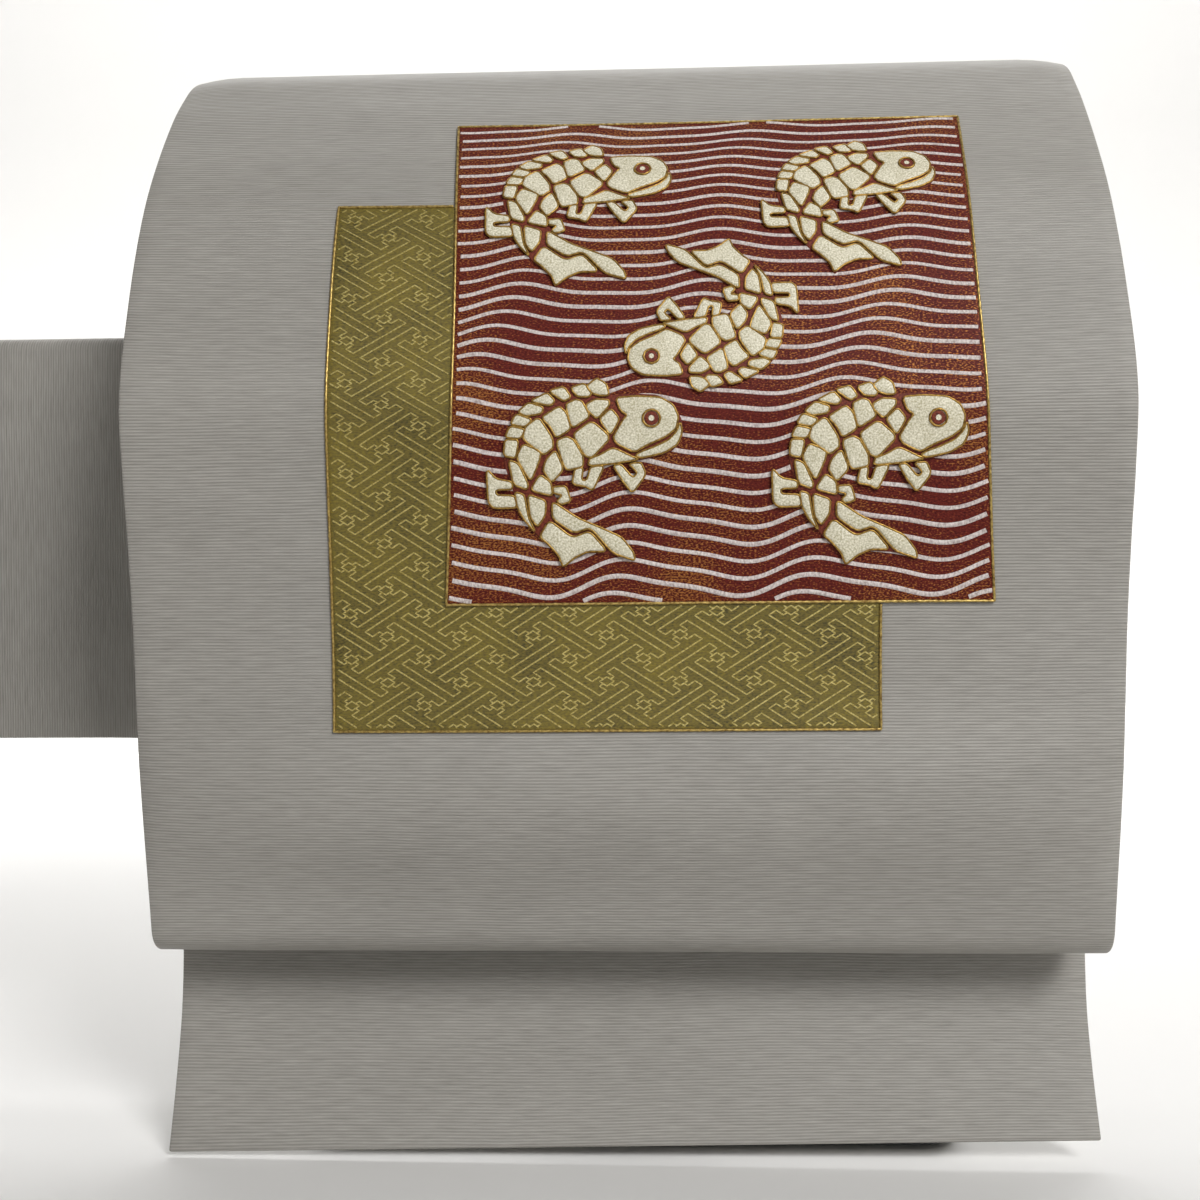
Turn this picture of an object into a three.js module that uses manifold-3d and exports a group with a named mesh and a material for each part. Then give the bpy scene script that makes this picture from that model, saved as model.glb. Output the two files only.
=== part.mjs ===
// A ready-tied drum bow of a kimono sash, shown on a small table stand.
// Units are millimetres. +Z is up, the bow's face looks along -Y, and +X is on the viewer's right.
// The origin is the centre of the stand's underside.
//
// The cloth is drawn as side profiles in (y, z) and carried along X, one solid for each ply.
// Every y in a profile is measured from the post's axis, and the whole stand is set back by postY.

import * as THREE from 'three';
import { mergeVertices } from 'three/addons/utils/BufferGeometryUtils.js';
import Module from 'manifold-3d';

const wasm = await Module();
wasm.setup();

// ---------------------------------------------------------------------------------------------
// Driving dimensions

const gap = 0.3;                 // left between two pieces that touch
const roundSides = 28;           // sides of a turned piece
const screwSides = 14;           // sides of a small screw

// Cloth
const sashWidth = 305;
const silkThick = 0.5;
const coreThick = 1.0;
const liningThick = 0.5;

// Drum, seen from the side
const foldCentreZ = 80.5;        // middle of the roll at the drum's foot
const foldRadius = 10.5;         // silk face of that roll
const drumRise = 293;            // from the roll's middle to the ridge
const drumReach = 81;            // from the post's axis forward to the fullest point
const foldBack = 33.9;           // from the fullest point back to the roll's middle
const backDropRoom = 4.7;        // from the pillow's tapes to the hanging back of the drum
const backHemZ = 119;
const foldTubeWall = 1.5;
const foldTubeShort = 2.5;       // the tube ends this far inside each edge of the cloth

// Hem flap below the drum
const tareHingeZ = 64;
const tareTopDrop = 2;           // the flap starts this far under the hinge
const tareHemZ = 5;
const tareLean = 15;             // how far the hem stands in front of the hinge

// Hand end, folded in two lengthways over its rod, so it hangs half the width of the sash
const teLeftX = -255;
const teSlideRoom = 69;          // from its inner end to the bracket's leg

// Base
const plateWidth = 220;
const plateDepth = 180;
const plateThick = 5;
const plateCorner = 12;
const feltThick = 1.5;
const feltInset = 3;
const plateMargin = 5;           // from the socket's flange to the plate's front edge

// Post
const outerTubeRadius = 11;
const tubeWall = 1.5;
const tubeClearance = 0.5;       // all round, between the two tubes
const outerTubeTopZ = 172;
const innerTubeFootZ = 55;
const flangeMargin = 10.7;       // round the boss, for the screws
const flangeThick = 4;
const bossWall = 4;
const bossHeight = 22;
const flangeScrewCount = 3;
const flangeScrewRadius = 2;
const flangeScrewHead = 3.5;
const flangeScrewBite = 3.5;     // depth of the screws in the plate

// Clamp
const collarHeight = 20;
const collarWall = 5;
const clampBossProud = 5.7;
const clampScrewRadius = 2.5;
const knobRadius = 12;
const knobThick = 14;
const knobLobes = 6;
const knobStandoff = 2;

// Saddle and pillow
const ridgeClearance = 8;        // from the silk on the ridge down to the pillow
const pillowHalfDepth = 23;
const pillowHalfHeight = 35;
const pillowLength = 240;
const gauzeThick = 0.8;
const gauzeOverhang = 8;
const troughThick = 3;
const troughLength = 190;
const troughHalfAngle = 60;      // degrees each side of straight down
const hubProud = 4;              // round the inner tube
const hubHeight = 12;
const spigotLength = 12;
const saddleScrewRadius = 2;
const strapThick = 1;
const strapWidth = 18;
const strapX = 62;

// Bar that carries the flap
const barRadius = 4;
const barZ = 195;
const barEnd = 9;                // how far the bar stands out past the cloth
const railThick = 3;
const railHeight = 12;
const railSideRoom = 2.5;        // between the cloth's edge and the rail's ears
const earPastBar = 7.7;
const barHoleClearance = 0.3;
const capRadius = 6.5;
const capLength = 4.5;
const railCollarHeight = 14;
const railCollarWall = 3.7;
const railPadProud = 2;
const railPadHalf = 13;
const railScrewX = 8;
const railScrewRadius = 1.5;
const railScrewHead = 3;
const railScrewHeadHeight = 2;
const railScrewBite = 5.5;

// Rod that carries the hand end
const teRodRadius = 3;
const teRoom = 2.8;              // between the clamp collar and the hand end
const teRodLeftX = -245;
const bracketHeight = 14;
const bracketWall = 3.7;
const armThick = 3;
const armShort = 20.5;           // the bracket ends this far inside the cloth's edge
const legPastRod = 6;
const teRodRise = 0.9;           // the rod's axis over the bracket's arm
const nutAcross = 10;
const nutThick = 5;
const rodEndPastNut = 3;
const grubRadius = 1.9;

// Appliqued squares, as they are seen from the front
const redWidth = 164.5;
const redHeight = 158;
const redCentreX = 28.8;
const redBelowRidge = 33.2;
const oliveWidth = 168;
const oliveHeight = 165;
const oliveCentreX = -5.5;
const oliveBelowRidge = 65;
const patchThick = 0.5;
const cordWidth = 1.4;
const cordThick = 1.2;
const carpThick = 1.0;

// ---------------------------------------------------------------------------------------------
// Sizes worked out from the ones above

const clothThick = silkThick + gap + coreThick + gap + liningThick;
const plies = {
  silk: [-silkThick, 0],
  core: [-silkThick - gap - coreThick, -silkThick - gap],
  lining: [-clothThick, -clothThick + liningThick],
};
const clothHalf = sashWidth / 2;
const ridgeZ = foldCentreZ + drumRise;
const foldCentreY = -drumReach + foldBack;
const barFaceRadius = barRadius + gap;
const innerLayerY = foldCentreY + foldRadius;
const barY = innerLayerY + barFaceRadius;

const plateBottomZ = feltThick + gap;
const plateTopZ = plateBottomZ + plateThick;
const flangeBottomZ = plateTopZ + gap;
const socketBore = outerTubeRadius + gap;
const flangeRadius = socketBore + bossWall + flangeMargin;
const flangeScrewRing = flangeRadius - flangeMargin / 2;
const postY = -plateDepth / 2 + flangeRadius + plateMargin;
const outerTubeFootZ = flangeBottomZ + flangeThick;
const collarOuter = socketBore + collarWall;
const clampBossReach = collarOuter + clampBossProud;
const innerTubeRadius = outerTubeRadius - tubeWall - tubeClearance;
const clampZ = outerTubeTopZ - collarHeight / 2;

const pillowZ = ridgeZ - ridgeClearance - pillowHalfHeight;
const gauzeOffset = gap + gauzeThick;
const troughInset = gauzeOffset + gap;
const troughBottomZ = pillowZ - pillowHalfHeight - troughInset - troughThick;
const hubTopZ = troughBottomZ - gap;
const hubBottomZ = hubTopZ - hubHeight;
const innerTubeTopZ = hubBottomZ - gap;
const sleeveInner = innerTubeRadius + gap;
const hubRadius = innerTubeRadius + hubProud;

const railBackY = -(sleeveInner + railCollarWall + railPadProud + gap);
const railFrontY = railBackY - railThick;
const earInnerX = clothHalf + railSideRoom;
const earOuterX = earInnerX + railThick;

const bracketTopZ = innerTubeTopZ - gap;
const teRodZ = bracketTopZ + teRodRise;
const teFaceRadius = teRodRadius + gap + clothThick;
const teRodBehind = collarOuter + teRoom + teFaceRadius;
const teTopZ = teRodZ + teFaceRadius;
const armReach = clothHalf - armShort;

const strapHalfDepth = pillowHalfDepth + troughInset + troughThick + gap;
const backDropY = strapHalfDepth + strapThick + backDropRoom + clothThick;

// ---------------------------------------------------------------------------------------------
// Shape helpers

const alongX = new THREE.Matrix4().makeBasis(
  new THREE.Vector3(0, 1, 0), new THREE.Vector3(0, 0, 1), new THREE.Vector3(1, 0, 0));
const alongY = new THREE.Matrix4().makeBasis(
  new THREE.Vector3(1, 0, 0), new THREE.Vector3(0, 0, 1), new THREE.Vector3(0, -1, 0));

function extrude(outline, depth) {
  const shape = new THREE.Shape(outline);
  return new THREE.ExtrudeGeometry(shape, { depth, bevelEnabled: false, curveSegments: 6 });
}

// A (y, z) outline carried along X.
function prismX(outline, fromX, toX) {
  const geometry = extrude(outline, toX - fromX);
  return geometry.applyMatrix4(alongX).translate(fromX, 0, 0);
}

// An (x, z) outline carried along Y.
function prismY(outline, fromY, toY) {
  const geometry = extrude(outline, toY - fromY);
  return geometry.applyMatrix4(alongY).translate(0, toY, 0);
}

// An (x, y) outline carried along Z.
function prismZ(outline, fromZ, toZ) {
  return extrude(outline, toZ - fromZ).translate(0, 0, fromZ);
}

function rectangle(left, bottom, right, top) {
  const corners = [[left, bottom], [right, bottom], [right, top], [left, top]];
  return corners.map(([across, up]) => new THREE.Vector2(across, up));
}

function box(min, max) {
  const size = max.map((value, axis) => value - min[axis]);
  const middle = max.map((value, axis) => (value + min[axis]) / 2);
  return new THREE.BoxGeometry(...size).translate(...middle);
}

function roundedRectangle(width, depth, radius) {
  const shape = new THREE.Shape();
  const right = width / 2;
  const back = depth / 2;
  shape.absarc(right - radius, back - radius, radius, 0, Math.PI / 2);
  shape.absarc(-right + radius, back - radius, radius, Math.PI / 2, Math.PI);
  shape.absarc(-right + radius, -back + radius, radius, Math.PI, Math.PI * 1.5);
  shape.absarc(right - radius, -back + radius, radius, Math.PI * 1.5, Math.PI * 2);
  return shape.getPoints(6).slice(0, -1);
}

// A turned piece on the Z axis, from [radius, height] corners in anticlockwise order.
// A profile that doesn't touch the axis is closed on itself, which leaves a bore.
function turned(corners, sides = roundSides) {
  const points = corners.map(([radius, height]) => new THREE.Vector2(radius, height));
  const onAxis = points[0].x === 0 && points[points.length - 1].x === 0;
  if (!onAxis) points.push(points[0].clone());
  return new THREE.LatheGeometry(points, sides).rotateX(Math.PI / 2);
}

function rod(radius, from, to, sides = roundSides) {
  return turned([[0, from], [radius, from], [radius, to], [0, to]], sides);
}

function tube(inner, outer, from, to, sides = roundSides) {
  return turned([[inner, from], [outer, from], [outer, to], [inner, to]], sides);
}

// Turns a piece made along Z so that it lies along X or along Y.
const layX = (geometry) => geometry.rotateY(Math.PI / 2);
const layY = (geometry) => geometry.rotateX(-Math.PI / 2);

function toSolid(geometry) {
  const bare = geometry.clone();
  bare.deleteAttribute('normal');
  bare.deleteAttribute('uv');
  const merged = mergeVertices(bare, 1e-4);
  const vertProperties = new Float32Array(merged.attributes.position.array);
  const triVerts = new Uint32Array(merged.index.array);
  return new wasm.Manifold(new wasm.Mesh({ numProp: 3, vertProperties, triVerts }));
}

function toGeometry(solid) {
  const mesh = solid.getMesh();
  const geometry = new THREE.BufferGeometry();
  geometry.setAttribute('position', new THREE.BufferAttribute(new Float32Array(mesh.vertProperties), 3));
  geometry.setIndex(new THREE.BufferAttribute(new Uint32Array(mesh.triVerts), 1));
  return geometry;
}

const cut = (body, ...tools) => tools.reduce((left, tool) => left.subtract(toSolid(tool)), toSolid(body));
const join = (...bodies) => bodies.slice(1).reduce((sum, body) => sum.add(toSolid(body)), toSolid(bodies[0]));

// Moves a (y, z) path to its right-hand side by one distance all along, corners included.
function offsetPath(path, distance) {
  const sides = path.slice(1).map((point, index) => {
    const along = point.clone().sub(path[index]).normalize();
    return new THREE.Vector2(along.y, -along.x);
  });
  return path.map((point, index) => {
    const before = sides[Math.max(index - 1, 0)];
    const after = sides[Math.min(index, sides.length - 1)];
    const miter = before.clone().add(after).divideScalar(1 + before.dot(after));
    return point.clone().addScaledVector(miter, distance);
  });
}

// The space between two offsets of a path, as a closed outline.
function ply(path, [inner, outer]) {
  return [...offsetPath(path, outer), ...offsetPath(path, inner).reverse()];
}

function arc(centreY, centreZ, radius, fromDegrees, toDegrees, steps) {
  const turn = (toDegrees - fromDegrees) / steps;
  return Array.from({ length: steps + 1 }, (_, step) => {
    const angle = THREE.MathUtils.degToRad(fromDegrees + turn * step);
    return new THREE.Vector2(centreY + radius * Math.cos(angle), centreZ + radius * Math.sin(angle));
  });
}

function smooth(points, stepsBetween) {
  const curve = new THREE.CatmullRomCurve3(points.map(([y, z]) => new THREE.Vector3(0, y, z)));
  return curve.getPoints(stepsBetween * (points.length - 1)).map(({ y, z }) => new THREE.Vector2(y, z));
}

// ---------------------------------------------------------------------------------------------
// Materials

function finish(color, roughness, metalness) {
  return new THREE.MeshStandardMaterial({ color, roughness, metalness });
}

const silk = finish('#8f8b83', 0.62, 0);
const coreCloth = finish('#d9d3c4', 0.9, 0);
const liningCloth = finish('#a29c92', 0.8, 0);
const oliveBrocade = finish('#7b7240', 0.5, 0.25);
const redBrocade = finish('#6a3424', 0.6, 0.1);
const goldCord = finish('#a98f45', 0.4, 0.6);
const creamSatin = finish('#ddd6bd', 0.7, 0);
const whiteGauze = finish('#e9e6df', 0.9, 0);
const pillowFibre = finish('#e4dfd6', 0.95, 0);
const cottonTape = finish('#e2ded4', 0.9, 0);
const blackPaint = finish('#2a2a2b', 0.45, 0.2);
const chromeTube = finish('#c9cacc', 0.15, 1);
const brushedSteel = finish('#a7a8aa', 0.4, 1);
const blackPlastic = finish('#1f1f20', 0.5, 0);
const greyFelt = finish('#55565a', 0.95, 0);
const kraftPaper = finish('#b4946a', 0.85, 0);

const sash = new THREE.Group();
const stand = new THREE.Group();
stand.position.y = postY;
sash.add(stand);

// Adds one named piece, measured from the post's axis.
function add(name, shape, material) {
  const geometry = shape.isBufferGeometry ? shape : toGeometry(shape);
  const mesh = new THREE.Mesh(geometry, material);
  mesh.name = name;
  stand.add(mesh);
}

// ---------------------------------------------------------------------------------------------
// Base: a steel plate on felt, with a socket screwed down near its front edge

const plate = roundedRectangle(plateWidth, plateDepth, plateCorner);
const felt = roundedRectangle(
  plateWidth - 2 * feltInset, plateDepth - 2 * feltInset, plateCorner - feltInset);
const screwHoleRadius = flangeScrewRadius + gap;
const screwFootZ = plateTopZ - flangeScrewBite;
const flangeTopZ = flangeBottomZ + flangeThick;

function onFlangeRing(geometry, index) {
  const angle = Math.PI / 2 + (index * 2 * Math.PI) / flangeScrewCount;
  return geometry.translate(flangeScrewRing * Math.cos(angle), flangeScrewRing * Math.sin(angle), 0);
}

const flangeHoles = Array.from({ length: flangeScrewCount }, (_, index) =>
  onFlangeRing(rod(screwHoleRadius, screwFootZ - gap, flangeTopZ + 1, screwSides), index));

add('base_felt', prismZ(felt, 0, feltThick).translate(0, -postY, 0), greyFelt);
const plateSlab = prismZ(plate, plateBottomZ, plateTopZ).translate(0, -postY, 0);
add('base_plate', cut(plateSlab, ...flangeHoles), blackPaint);

const flange = turned([
  [0, flangeBottomZ], [flangeRadius, flangeBottomZ], [flangeRadius, flangeTopZ],
  [socketBore + bossWall, flangeTopZ], [socketBore + bossWall, flangeTopZ + bossHeight],
  [socketBore, flangeTopZ + bossHeight], [socketBore, flangeTopZ], [0, flangeTopZ],
]);
add('post_socket', cut(flange, ...flangeHoles), blackPaint);

for (let index = 0; index < flangeScrewCount; index += 1) {
  const headBottom = flangeTopZ + gap;
  const screw = turned([
    [0, screwFootZ], [flangeScrewRadius, screwFootZ], [flangeScrewRadius, headBottom],
    [flangeScrewHead, headBottom], [flangeScrewHead, headBottom + 2], [0, headBottom + 2.6],
  ], screwSides);
  add(`socket_screw_${index + 1}`, onFlangeRing(screw, index), brushedSteel);
}

// ---------------------------------------------------------------------------------------------
// Post: two tubes, one sliding in the other, held by a clamp screw

// A bar with few sides along X, at the height of the clamp.
function clampBar(radius, fromX, toX) {
  return layX(rod(radius, fromX, toX, screwSides)).translate(0, 0, clampZ);
}

const clampHole = () => clampBar(clampScrewRadius + gap, 0, clampBossReach + 1);
const tubeFootZ = outerTubeFootZ + gap;
const outerTube = tube(outerTubeRadius - tubeWall, outerTubeRadius, tubeFootZ, outerTubeTopZ);
add('outer_tube', cut(outerTube, clampHole()), chromeTube);

const collarFootZ = outerTubeTopZ - collarHeight;
const collarRing = tube(socketBore, collarOuter, collarFootZ, outerTubeTopZ);
const collarBoss = box([socketBore + 1, -6, clampZ - 6], [clampBossReach, 6, clampZ + 6]);
add('clamp_collar', join(collarRing, collarBoss).subtract(toSolid(clampHole())), blackPaint);

const knobInnerX = clampBossReach + knobStandoff;
const screwTipX = innerTubeRadius + gap;
const screwEndX = knobInnerX + knobThick * 0.7;
const knobOutline = Array.from({ length: knobLobes * 8 }, (_, step) => {
  const angle = (step * 2 * Math.PI) / (knobLobes * 8);
  const radius = knobRadius - 0.9 + 0.9 * Math.cos(angle * knobLobes);
  return new THREE.Vector2(radius * Math.cos(angle), radius * Math.sin(angle) + clampZ);
});
const knobBore = clampBar(clampScrewRadius + gap, knobInnerX - 1, screwEndX + gap);
add('clamp_knob', cut(prismX(knobOutline, knobInnerX, knobInnerX + knobThick), knobBore), blackPlastic);
add('clamp_screw', clampBar(clampScrewRadius, screwTipX, screwEndX), brushedSteel);

const innerTubeBore = innerTubeRadius - tubeWall;
add('inner_tube', tube(innerTubeBore, innerTubeRadius, innerTubeFootZ, innerTubeTopZ), chromeTube);

// ---------------------------------------------------------------------------------------------
// Saddle: a hub with a spigot in the tube, and a trough that the pillow lies in

const sinkTopZ = troughBottomZ + troughThick - gap;
const sinkDepth = 1.6;
const sinkRadius = saddleScrewRadius + sinkDepth;
const saddleScrewFootZ = hubBottomZ + 2;

const hub = turned([
  [0, innerTubeTopZ - spigotLength], [innerTubeBore - gap, innerTubeTopZ - spigotLength],
  [innerTubeBore - gap, hubBottomZ], [hubRadius, hubBottomZ], [hubRadius, hubTopZ], [0, hubTopZ],
]);
const hubHole = rod(saddleScrewRadius + gap, saddleScrewFootZ - gap, hubTopZ + 1, screwSides);
add('saddle_hub', cut(hub, hubHole), blackPaint);

function ellipseOffset(offset, fromDegrees, toDegrees, steps) {
  return arc(0, 0, 1, fromDegrees, toDegrees, steps).map((point) => new THREE.Vector2(
    point.x * (pillowHalfDepth + offset), pillowZ + point.y * (pillowHalfHeight + offset)));
}

const troughStart = -90 - troughHalfAngle;
const troughEnd = -90 + troughHalfAngle;
const troughOutline = [
  ...ellipseOffset(troughInset + troughThick, troughStart, troughEnd, 16),
  ...ellipseOffset(troughInset, troughStart, troughEnd, 16).reverse(),
];
const sink = turned([
  [0, troughBottomZ - 1], [saddleScrewRadius + gap, troughBottomZ - 1],
  [saddleScrewRadius + gap, sinkTopZ - sinkDepth], [sinkRadius + gap, sinkTopZ],
  [sinkRadius + gap, sinkTopZ + 2], [0, sinkTopZ + 2],
], screwSides);
add('saddle_trough', cut(prismX(troughOutline, -troughLength / 2, troughLength / 2), sink), blackPaint);

add('saddle_screw', turned([
  [0, saddleScrewFootZ], [saddleScrewRadius, saddleScrewFootZ],
  [saddleScrewRadius, sinkTopZ - sinkDepth], [sinkRadius, sinkTopZ], [0, sinkTopZ],
], screwSides), brushedSteel);

// ---------------------------------------------------------------------------------------------
// Pillow: a padded core in a gauze tube, tied down by two tapes

const pillowSteps = 32;
const pillowOutline = ellipseOffset(0, 0, 360, pillowSteps).slice(0, -1);
add('pillow_core', prismX(pillowOutline, -pillowLength / 2, pillowLength / 2), pillowFibre);

function ovalRing(inner, outer, halfLength, centreX) {
  const outside = prismX(outer, centreX - halfLength, centreX + halfLength);
  const inside = prismX(inner, centreX - halfLength - 1, centreX + halfLength + 1);
  return cut(outside, inside);
}

add('pillow_gauze', ovalRing(
  ellipseOffset(gap, 0, 360, pillowSteps).slice(0, -1),
  ellipseOffset(gauzeOffset, 0, 360, pillowSteps).slice(0, -1),
  pillowLength / 2 + gauzeOverhang, 0), whiteGauze);

// The tapes run round the pillow and the trough, so their oval is a little lower than the pillow's.
const strapTopZ = pillowZ + pillowHalfHeight + gauzeOffset + gap;
const strapFootZ = troughBottomZ - gap - 1.2;
const strapMiddleZ = (strapTopZ + strapFootZ) / 2;
const strapHalfHeight = (strapTopZ - strapFootZ) / 2;

function strapOval(extra) {
  return arc(0, 0, 1, 0, 360, pillowSteps).slice(0, -1).map((point) => new THREE.Vector2(
    point.x * (strapHalfDepth + extra), strapMiddleZ + point.y * (strapHalfHeight + extra)));
}

add('pillow_strap_left', ovalRing(strapOval(0), strapOval(strapThick), strapWidth / 2, -strapX), cottonTape);
add('pillow_strap_right', ovalRing(strapOval(0), strapOval(strapThick), strapWidth / 2, strapX), cottonTape);

// ---------------------------------------------------------------------------------------------
// Rail and bar: the bar carries the cloth where it turns down to the hem flap

const railFootZ = barZ - railHeight / 2;
const railTopZ = barZ + railHeight / 2;
const railCollarFootZ = barZ - railCollarHeight / 2;
const railCollarTopZ = barZ + railCollarHeight / 2;
const railScrewTipY = railBackY + gap + railScrewBite;
const railScrewHole = (x) => layY(rod(railScrewRadius + gap, railFrontY - 1, railScrewTipY + gap, screwSides))
  .translate(x, 0, barZ);

const railPad = box(
  [-railPadHalf, railBackY + gap, railCollarFootZ], [railPadHalf, -sleeveInner + 1, railCollarTopZ]);
const sleeveBore = () => rod(sleeveInner, railCollarFootZ - 1, railCollarTopZ + 1);

// A short bar with few sides along Y, behind the post.
function grubBar(radius, fromY, toY, z) {
  return layY(rod(radius, fromY, toY, screwSides)).translate(0, 0, z);
}

const grubHole = (z, outer) => grubBar(grubRadius + gap, sleeveInner - 1, outer + 1, z);
const grubScrew = (z, outer) => grubBar(grubRadius, sleeveInner, outer - gap, z);
const railCollar = join(rod(sleeveInner + railCollarWall, railCollarFootZ, railCollarTopZ), railPad)
  .subtract(toSolid(sleeveBore()))
  .subtract(toSolid(grubHole(barZ, sleeveInner + railCollarWall)))
  .subtract(toSolid(railScrewHole(-railScrewX)))
  .subtract(toSolid(railScrewHole(railScrewX)));
add('rail_collar', railCollar, blackPaint);

const earTipY = barY - earPastBar;
const barHole = layX(rod(barRadius + barHoleClearance, -earOuterX - 1, earOuterX + 1))
  .translate(0, barY, barZ);
const railOutline = [
  [-earOuterX, earTipY], [-earInnerX, earTipY], [-earInnerX, railFrontY], [earInnerX, railFrontY],
  [earInnerX, earTipY], [earOuterX, earTipY], [earOuterX, railBackY], [-earOuterX, railBackY],
].map(([x, y]) => new THREE.Vector2(x, y));
const rail = cut(
  prismZ(railOutline, railFootZ, railTopZ), barHole, railScrewHole(-railScrewX), railScrewHole(railScrewX));
add('tare_rail', rail, blackPaint);

for (const [side, x] of [['left', -railScrewX], ['right', railScrewX]]) {
  const seatY = railFrontY - gap;
  const screw = turned([
    [0, seatY - railScrewHeadHeight], [railScrewHead, seatY - railScrewHeadHeight], [railScrewHead, seatY],
    [railScrewRadius, seatY], [railScrewRadius, railScrewTipY], [0, railScrewTipY],
  ], screwSides);
  add(`rail_screw_${side}`, layY(screw).translate(x, 0, barZ), brushedSteel);
}

add('rail_grub_screw', grubScrew(barZ, sleeveInner + railCollarWall), brushedSteel);

const barHalf = clothHalf + barEnd;
add('tare_bar', layX(rod(barRadius, -barHalf, barHalf)).translate(0, barY, barZ), chromeTube);

for (const [side, turn] of [['left', -1], ['right', 1]]) {
  const mouth = earOuterX + gap;
  const cap = layX(turned([
    [0, barHalf + gap], [barRadius + gap, barHalf + gap], [barRadius + gap, mouth], [capRadius, mouth],
    [capRadius, mouth + capLength - 1], [capRadius - 1, mouth + capLength], [0, mouth + capLength],
  ].reverse().map(([radius, along]) => [radius, -along])));
  const placed = turn < 0 ? cap : cap.rotateZ(Math.PI);
  add(`bar_cap_${side}`, placed.translate(0, barY, barZ), blackPlastic);
}

// ---------------------------------------------------------------------------------------------
// Bracket and rod: the rod carries the hand end behind the post

const bracketFootZ = bracketTopZ - bracketHeight;
const bracketMiddleZ = bracketTopZ - bracketHeight / 2;
const bracketOuter = sleeveInner + bracketWall;
const legInnerX = armReach - armThick;
const legTopZ = teRodZ + legPastRod;
const teRodHole = layX(rod(teRodRadius + gap, legInnerX - 1, armReach + 1)).translate(0, teRodBehind, teRodZ);
const bracketArm = box(
  [sleeveInner + 1, -armThick / 2, bracketFootZ], [armReach, armThick / 2, bracketTopZ]);
const bracketLeg = box(
  [legInnerX, -armThick / 2, bracketFootZ], [armReach, teRodBehind + legPastRod, legTopZ]);
const bracket = join(rod(bracketOuter, bracketFootZ, bracketTopZ), bracketArm)
  .subtract(toSolid(rod(sleeveInner, bracketFootZ - 1, bracketTopZ + 1)))
  .add(toSolid(bracketLeg))
  .subtract(toSolid(teRodHole))
  .subtract(toSolid(grubHole(bracketMiddleZ, bracketOuter)));
add('te_bracket', bracket, blackPaint);
add('te_grub_screw', grubScrew(bracketMiddleZ, bracketOuter), brushedSteel);

const nutFaceX = armReach + gap;
const teRodRightX = nutFaceX + nutThick + rodEndPastNut;
const teRod = layX(rod(teRodRadius, teRodLeftX, teRodRightX, 20));
add('te_rod', teRod.translate(0, teRodBehind, teRodZ), chromeTube);

const nutOutline = Array.from({ length: 6 }, (_, corner) => {
  const angle = (corner * Math.PI) / 3;
  const radius = nutAcross / Math.sqrt(3);
  return new THREE.Vector2(teRodBehind + radius * Math.cos(angle), teRodZ + radius * Math.sin(angle));
});
const nutBore = layX(rod(teRodRadius + gap, nutFaceX - 1, nutFaceX + nutThick + 1, 20))
  .translate(0, teRodBehind, teRodZ);
add('te_rod_nut', cut(prismX(nutOutline, nutFaceX, nutFaceX + nutThick), nutBore), brushedSteel);

// ---------------------------------------------------------------------------------------------
// Drum: the cloth from its hanging back hem, over the pillow, down the face, round the roll,
// up inside, and over the bar to the hinge of the flap

// Points of the silk face as [y, height above the roll as a share of the drum's rise].
const faceShares = [
  [backDropY, 0.60], [backDropY, 0.80], [backDropY - 0.6, 0.862], [backDropY - 5.5, 0.94],
  [backDropY - 21, 1], [-3, 0.996], [11.7 - strapHalfDepth, 0.975], [1.7 - strapHalfDepth, 0.938],
  [-7.3 - strapHalfDepth, 0.899], [-0.71 * drumReach, 0.785],
  [-0.90 * drumReach, 0.664], [-drumReach, 0.560], [-0.97 * drumReach, 0.480], [-0.92 * drumReach, 0.410],
  [-0.87 * drumReach, 0.322], [-0.846 * drumReach, 0.250], [-0.815 * drumReach, 0.165],
];
const facePoints = faceShares.map(([y, share]) => [y, foldCentreZ + share * drumRise]);
const foldStartDegrees = 194;
const foldArc = arc(foldCentreY, foldCentreZ, foldRadius, foldStartDegrees, 360, 10);
const faceCurve = smooth([...facePoints, [foldArc[0].x, foldArc[0].y]], 3);
const barArc = arc(barY, barZ, barFaceRadius, 180, 0, 8);
const tareFaceY = barY + barFaceRadius;

const drumPath = [
  new THREE.Vector2(backDropY, backHemZ),
  ...faceCurve,
  ...foldArc.slice(1),
  ...barArc,
  new THREE.Vector2(tareFaceY, tareHingeZ),
];

add('drum_face_silk', prismX(ply(drumPath, plies.silk), -clothHalf, clothHalf), silk);
add('drum_interlining', prismX(ply(drumPath, plies.core), -clothHalf, clothHalf), coreCloth);
add('drum_lining', prismX(ply(drumPath, plies.lining), -clothHalf, clothHalf), liningCloth);

const foldTubeOuter = foldRadius - clothThick - gap;
const foldTubeHalf = clothHalf - foldTubeShort;
const foldTube = tube(foldTubeOuter - foldTubeWall, foldTubeOuter, -foldTubeHalf, foldTubeHalf);
add('fold_tube', layX(foldTube).translate(0, foldCentreY, foldCentreZ), kraftPaper);

// ---------------------------------------------------------------------------------------------
// Applique: two brocade squares edged with gold cord, and five carp

// A flat outline seen from the front, laid on the drum's face between two heights over the silk.
function onFace(outlines, [inner, outer]) {
  const shell = toSolid(prismX(ply(faceCurve, [inner, outer]), -clothHalf, clothHalf));
  const front = outlines.map((outline) => prismY(outline, -drumReach - 20, 0));
  return shell.intersect(join(...front));
}

// A square on the face, grown by the same amount on all four sides.
function grown({ centreX, width, height, belowRidge }, amount) {
  const half = width / 2 + amount;
  const top = ridgeZ - belowRidge;
  return rectangle(centreX - half, top - height - amount, centreX + half, top + amount);
}

const redSquare = {
  centreX: redCentreX, width: redWidth, height: redHeight, belowRidge: redBelowRidge,
};
const oliveSquare = {
  centreX: oliveCentreX, width: oliveWidth, height: oliveHeight, belowRidge: oliveBelowRidge,
};

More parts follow.
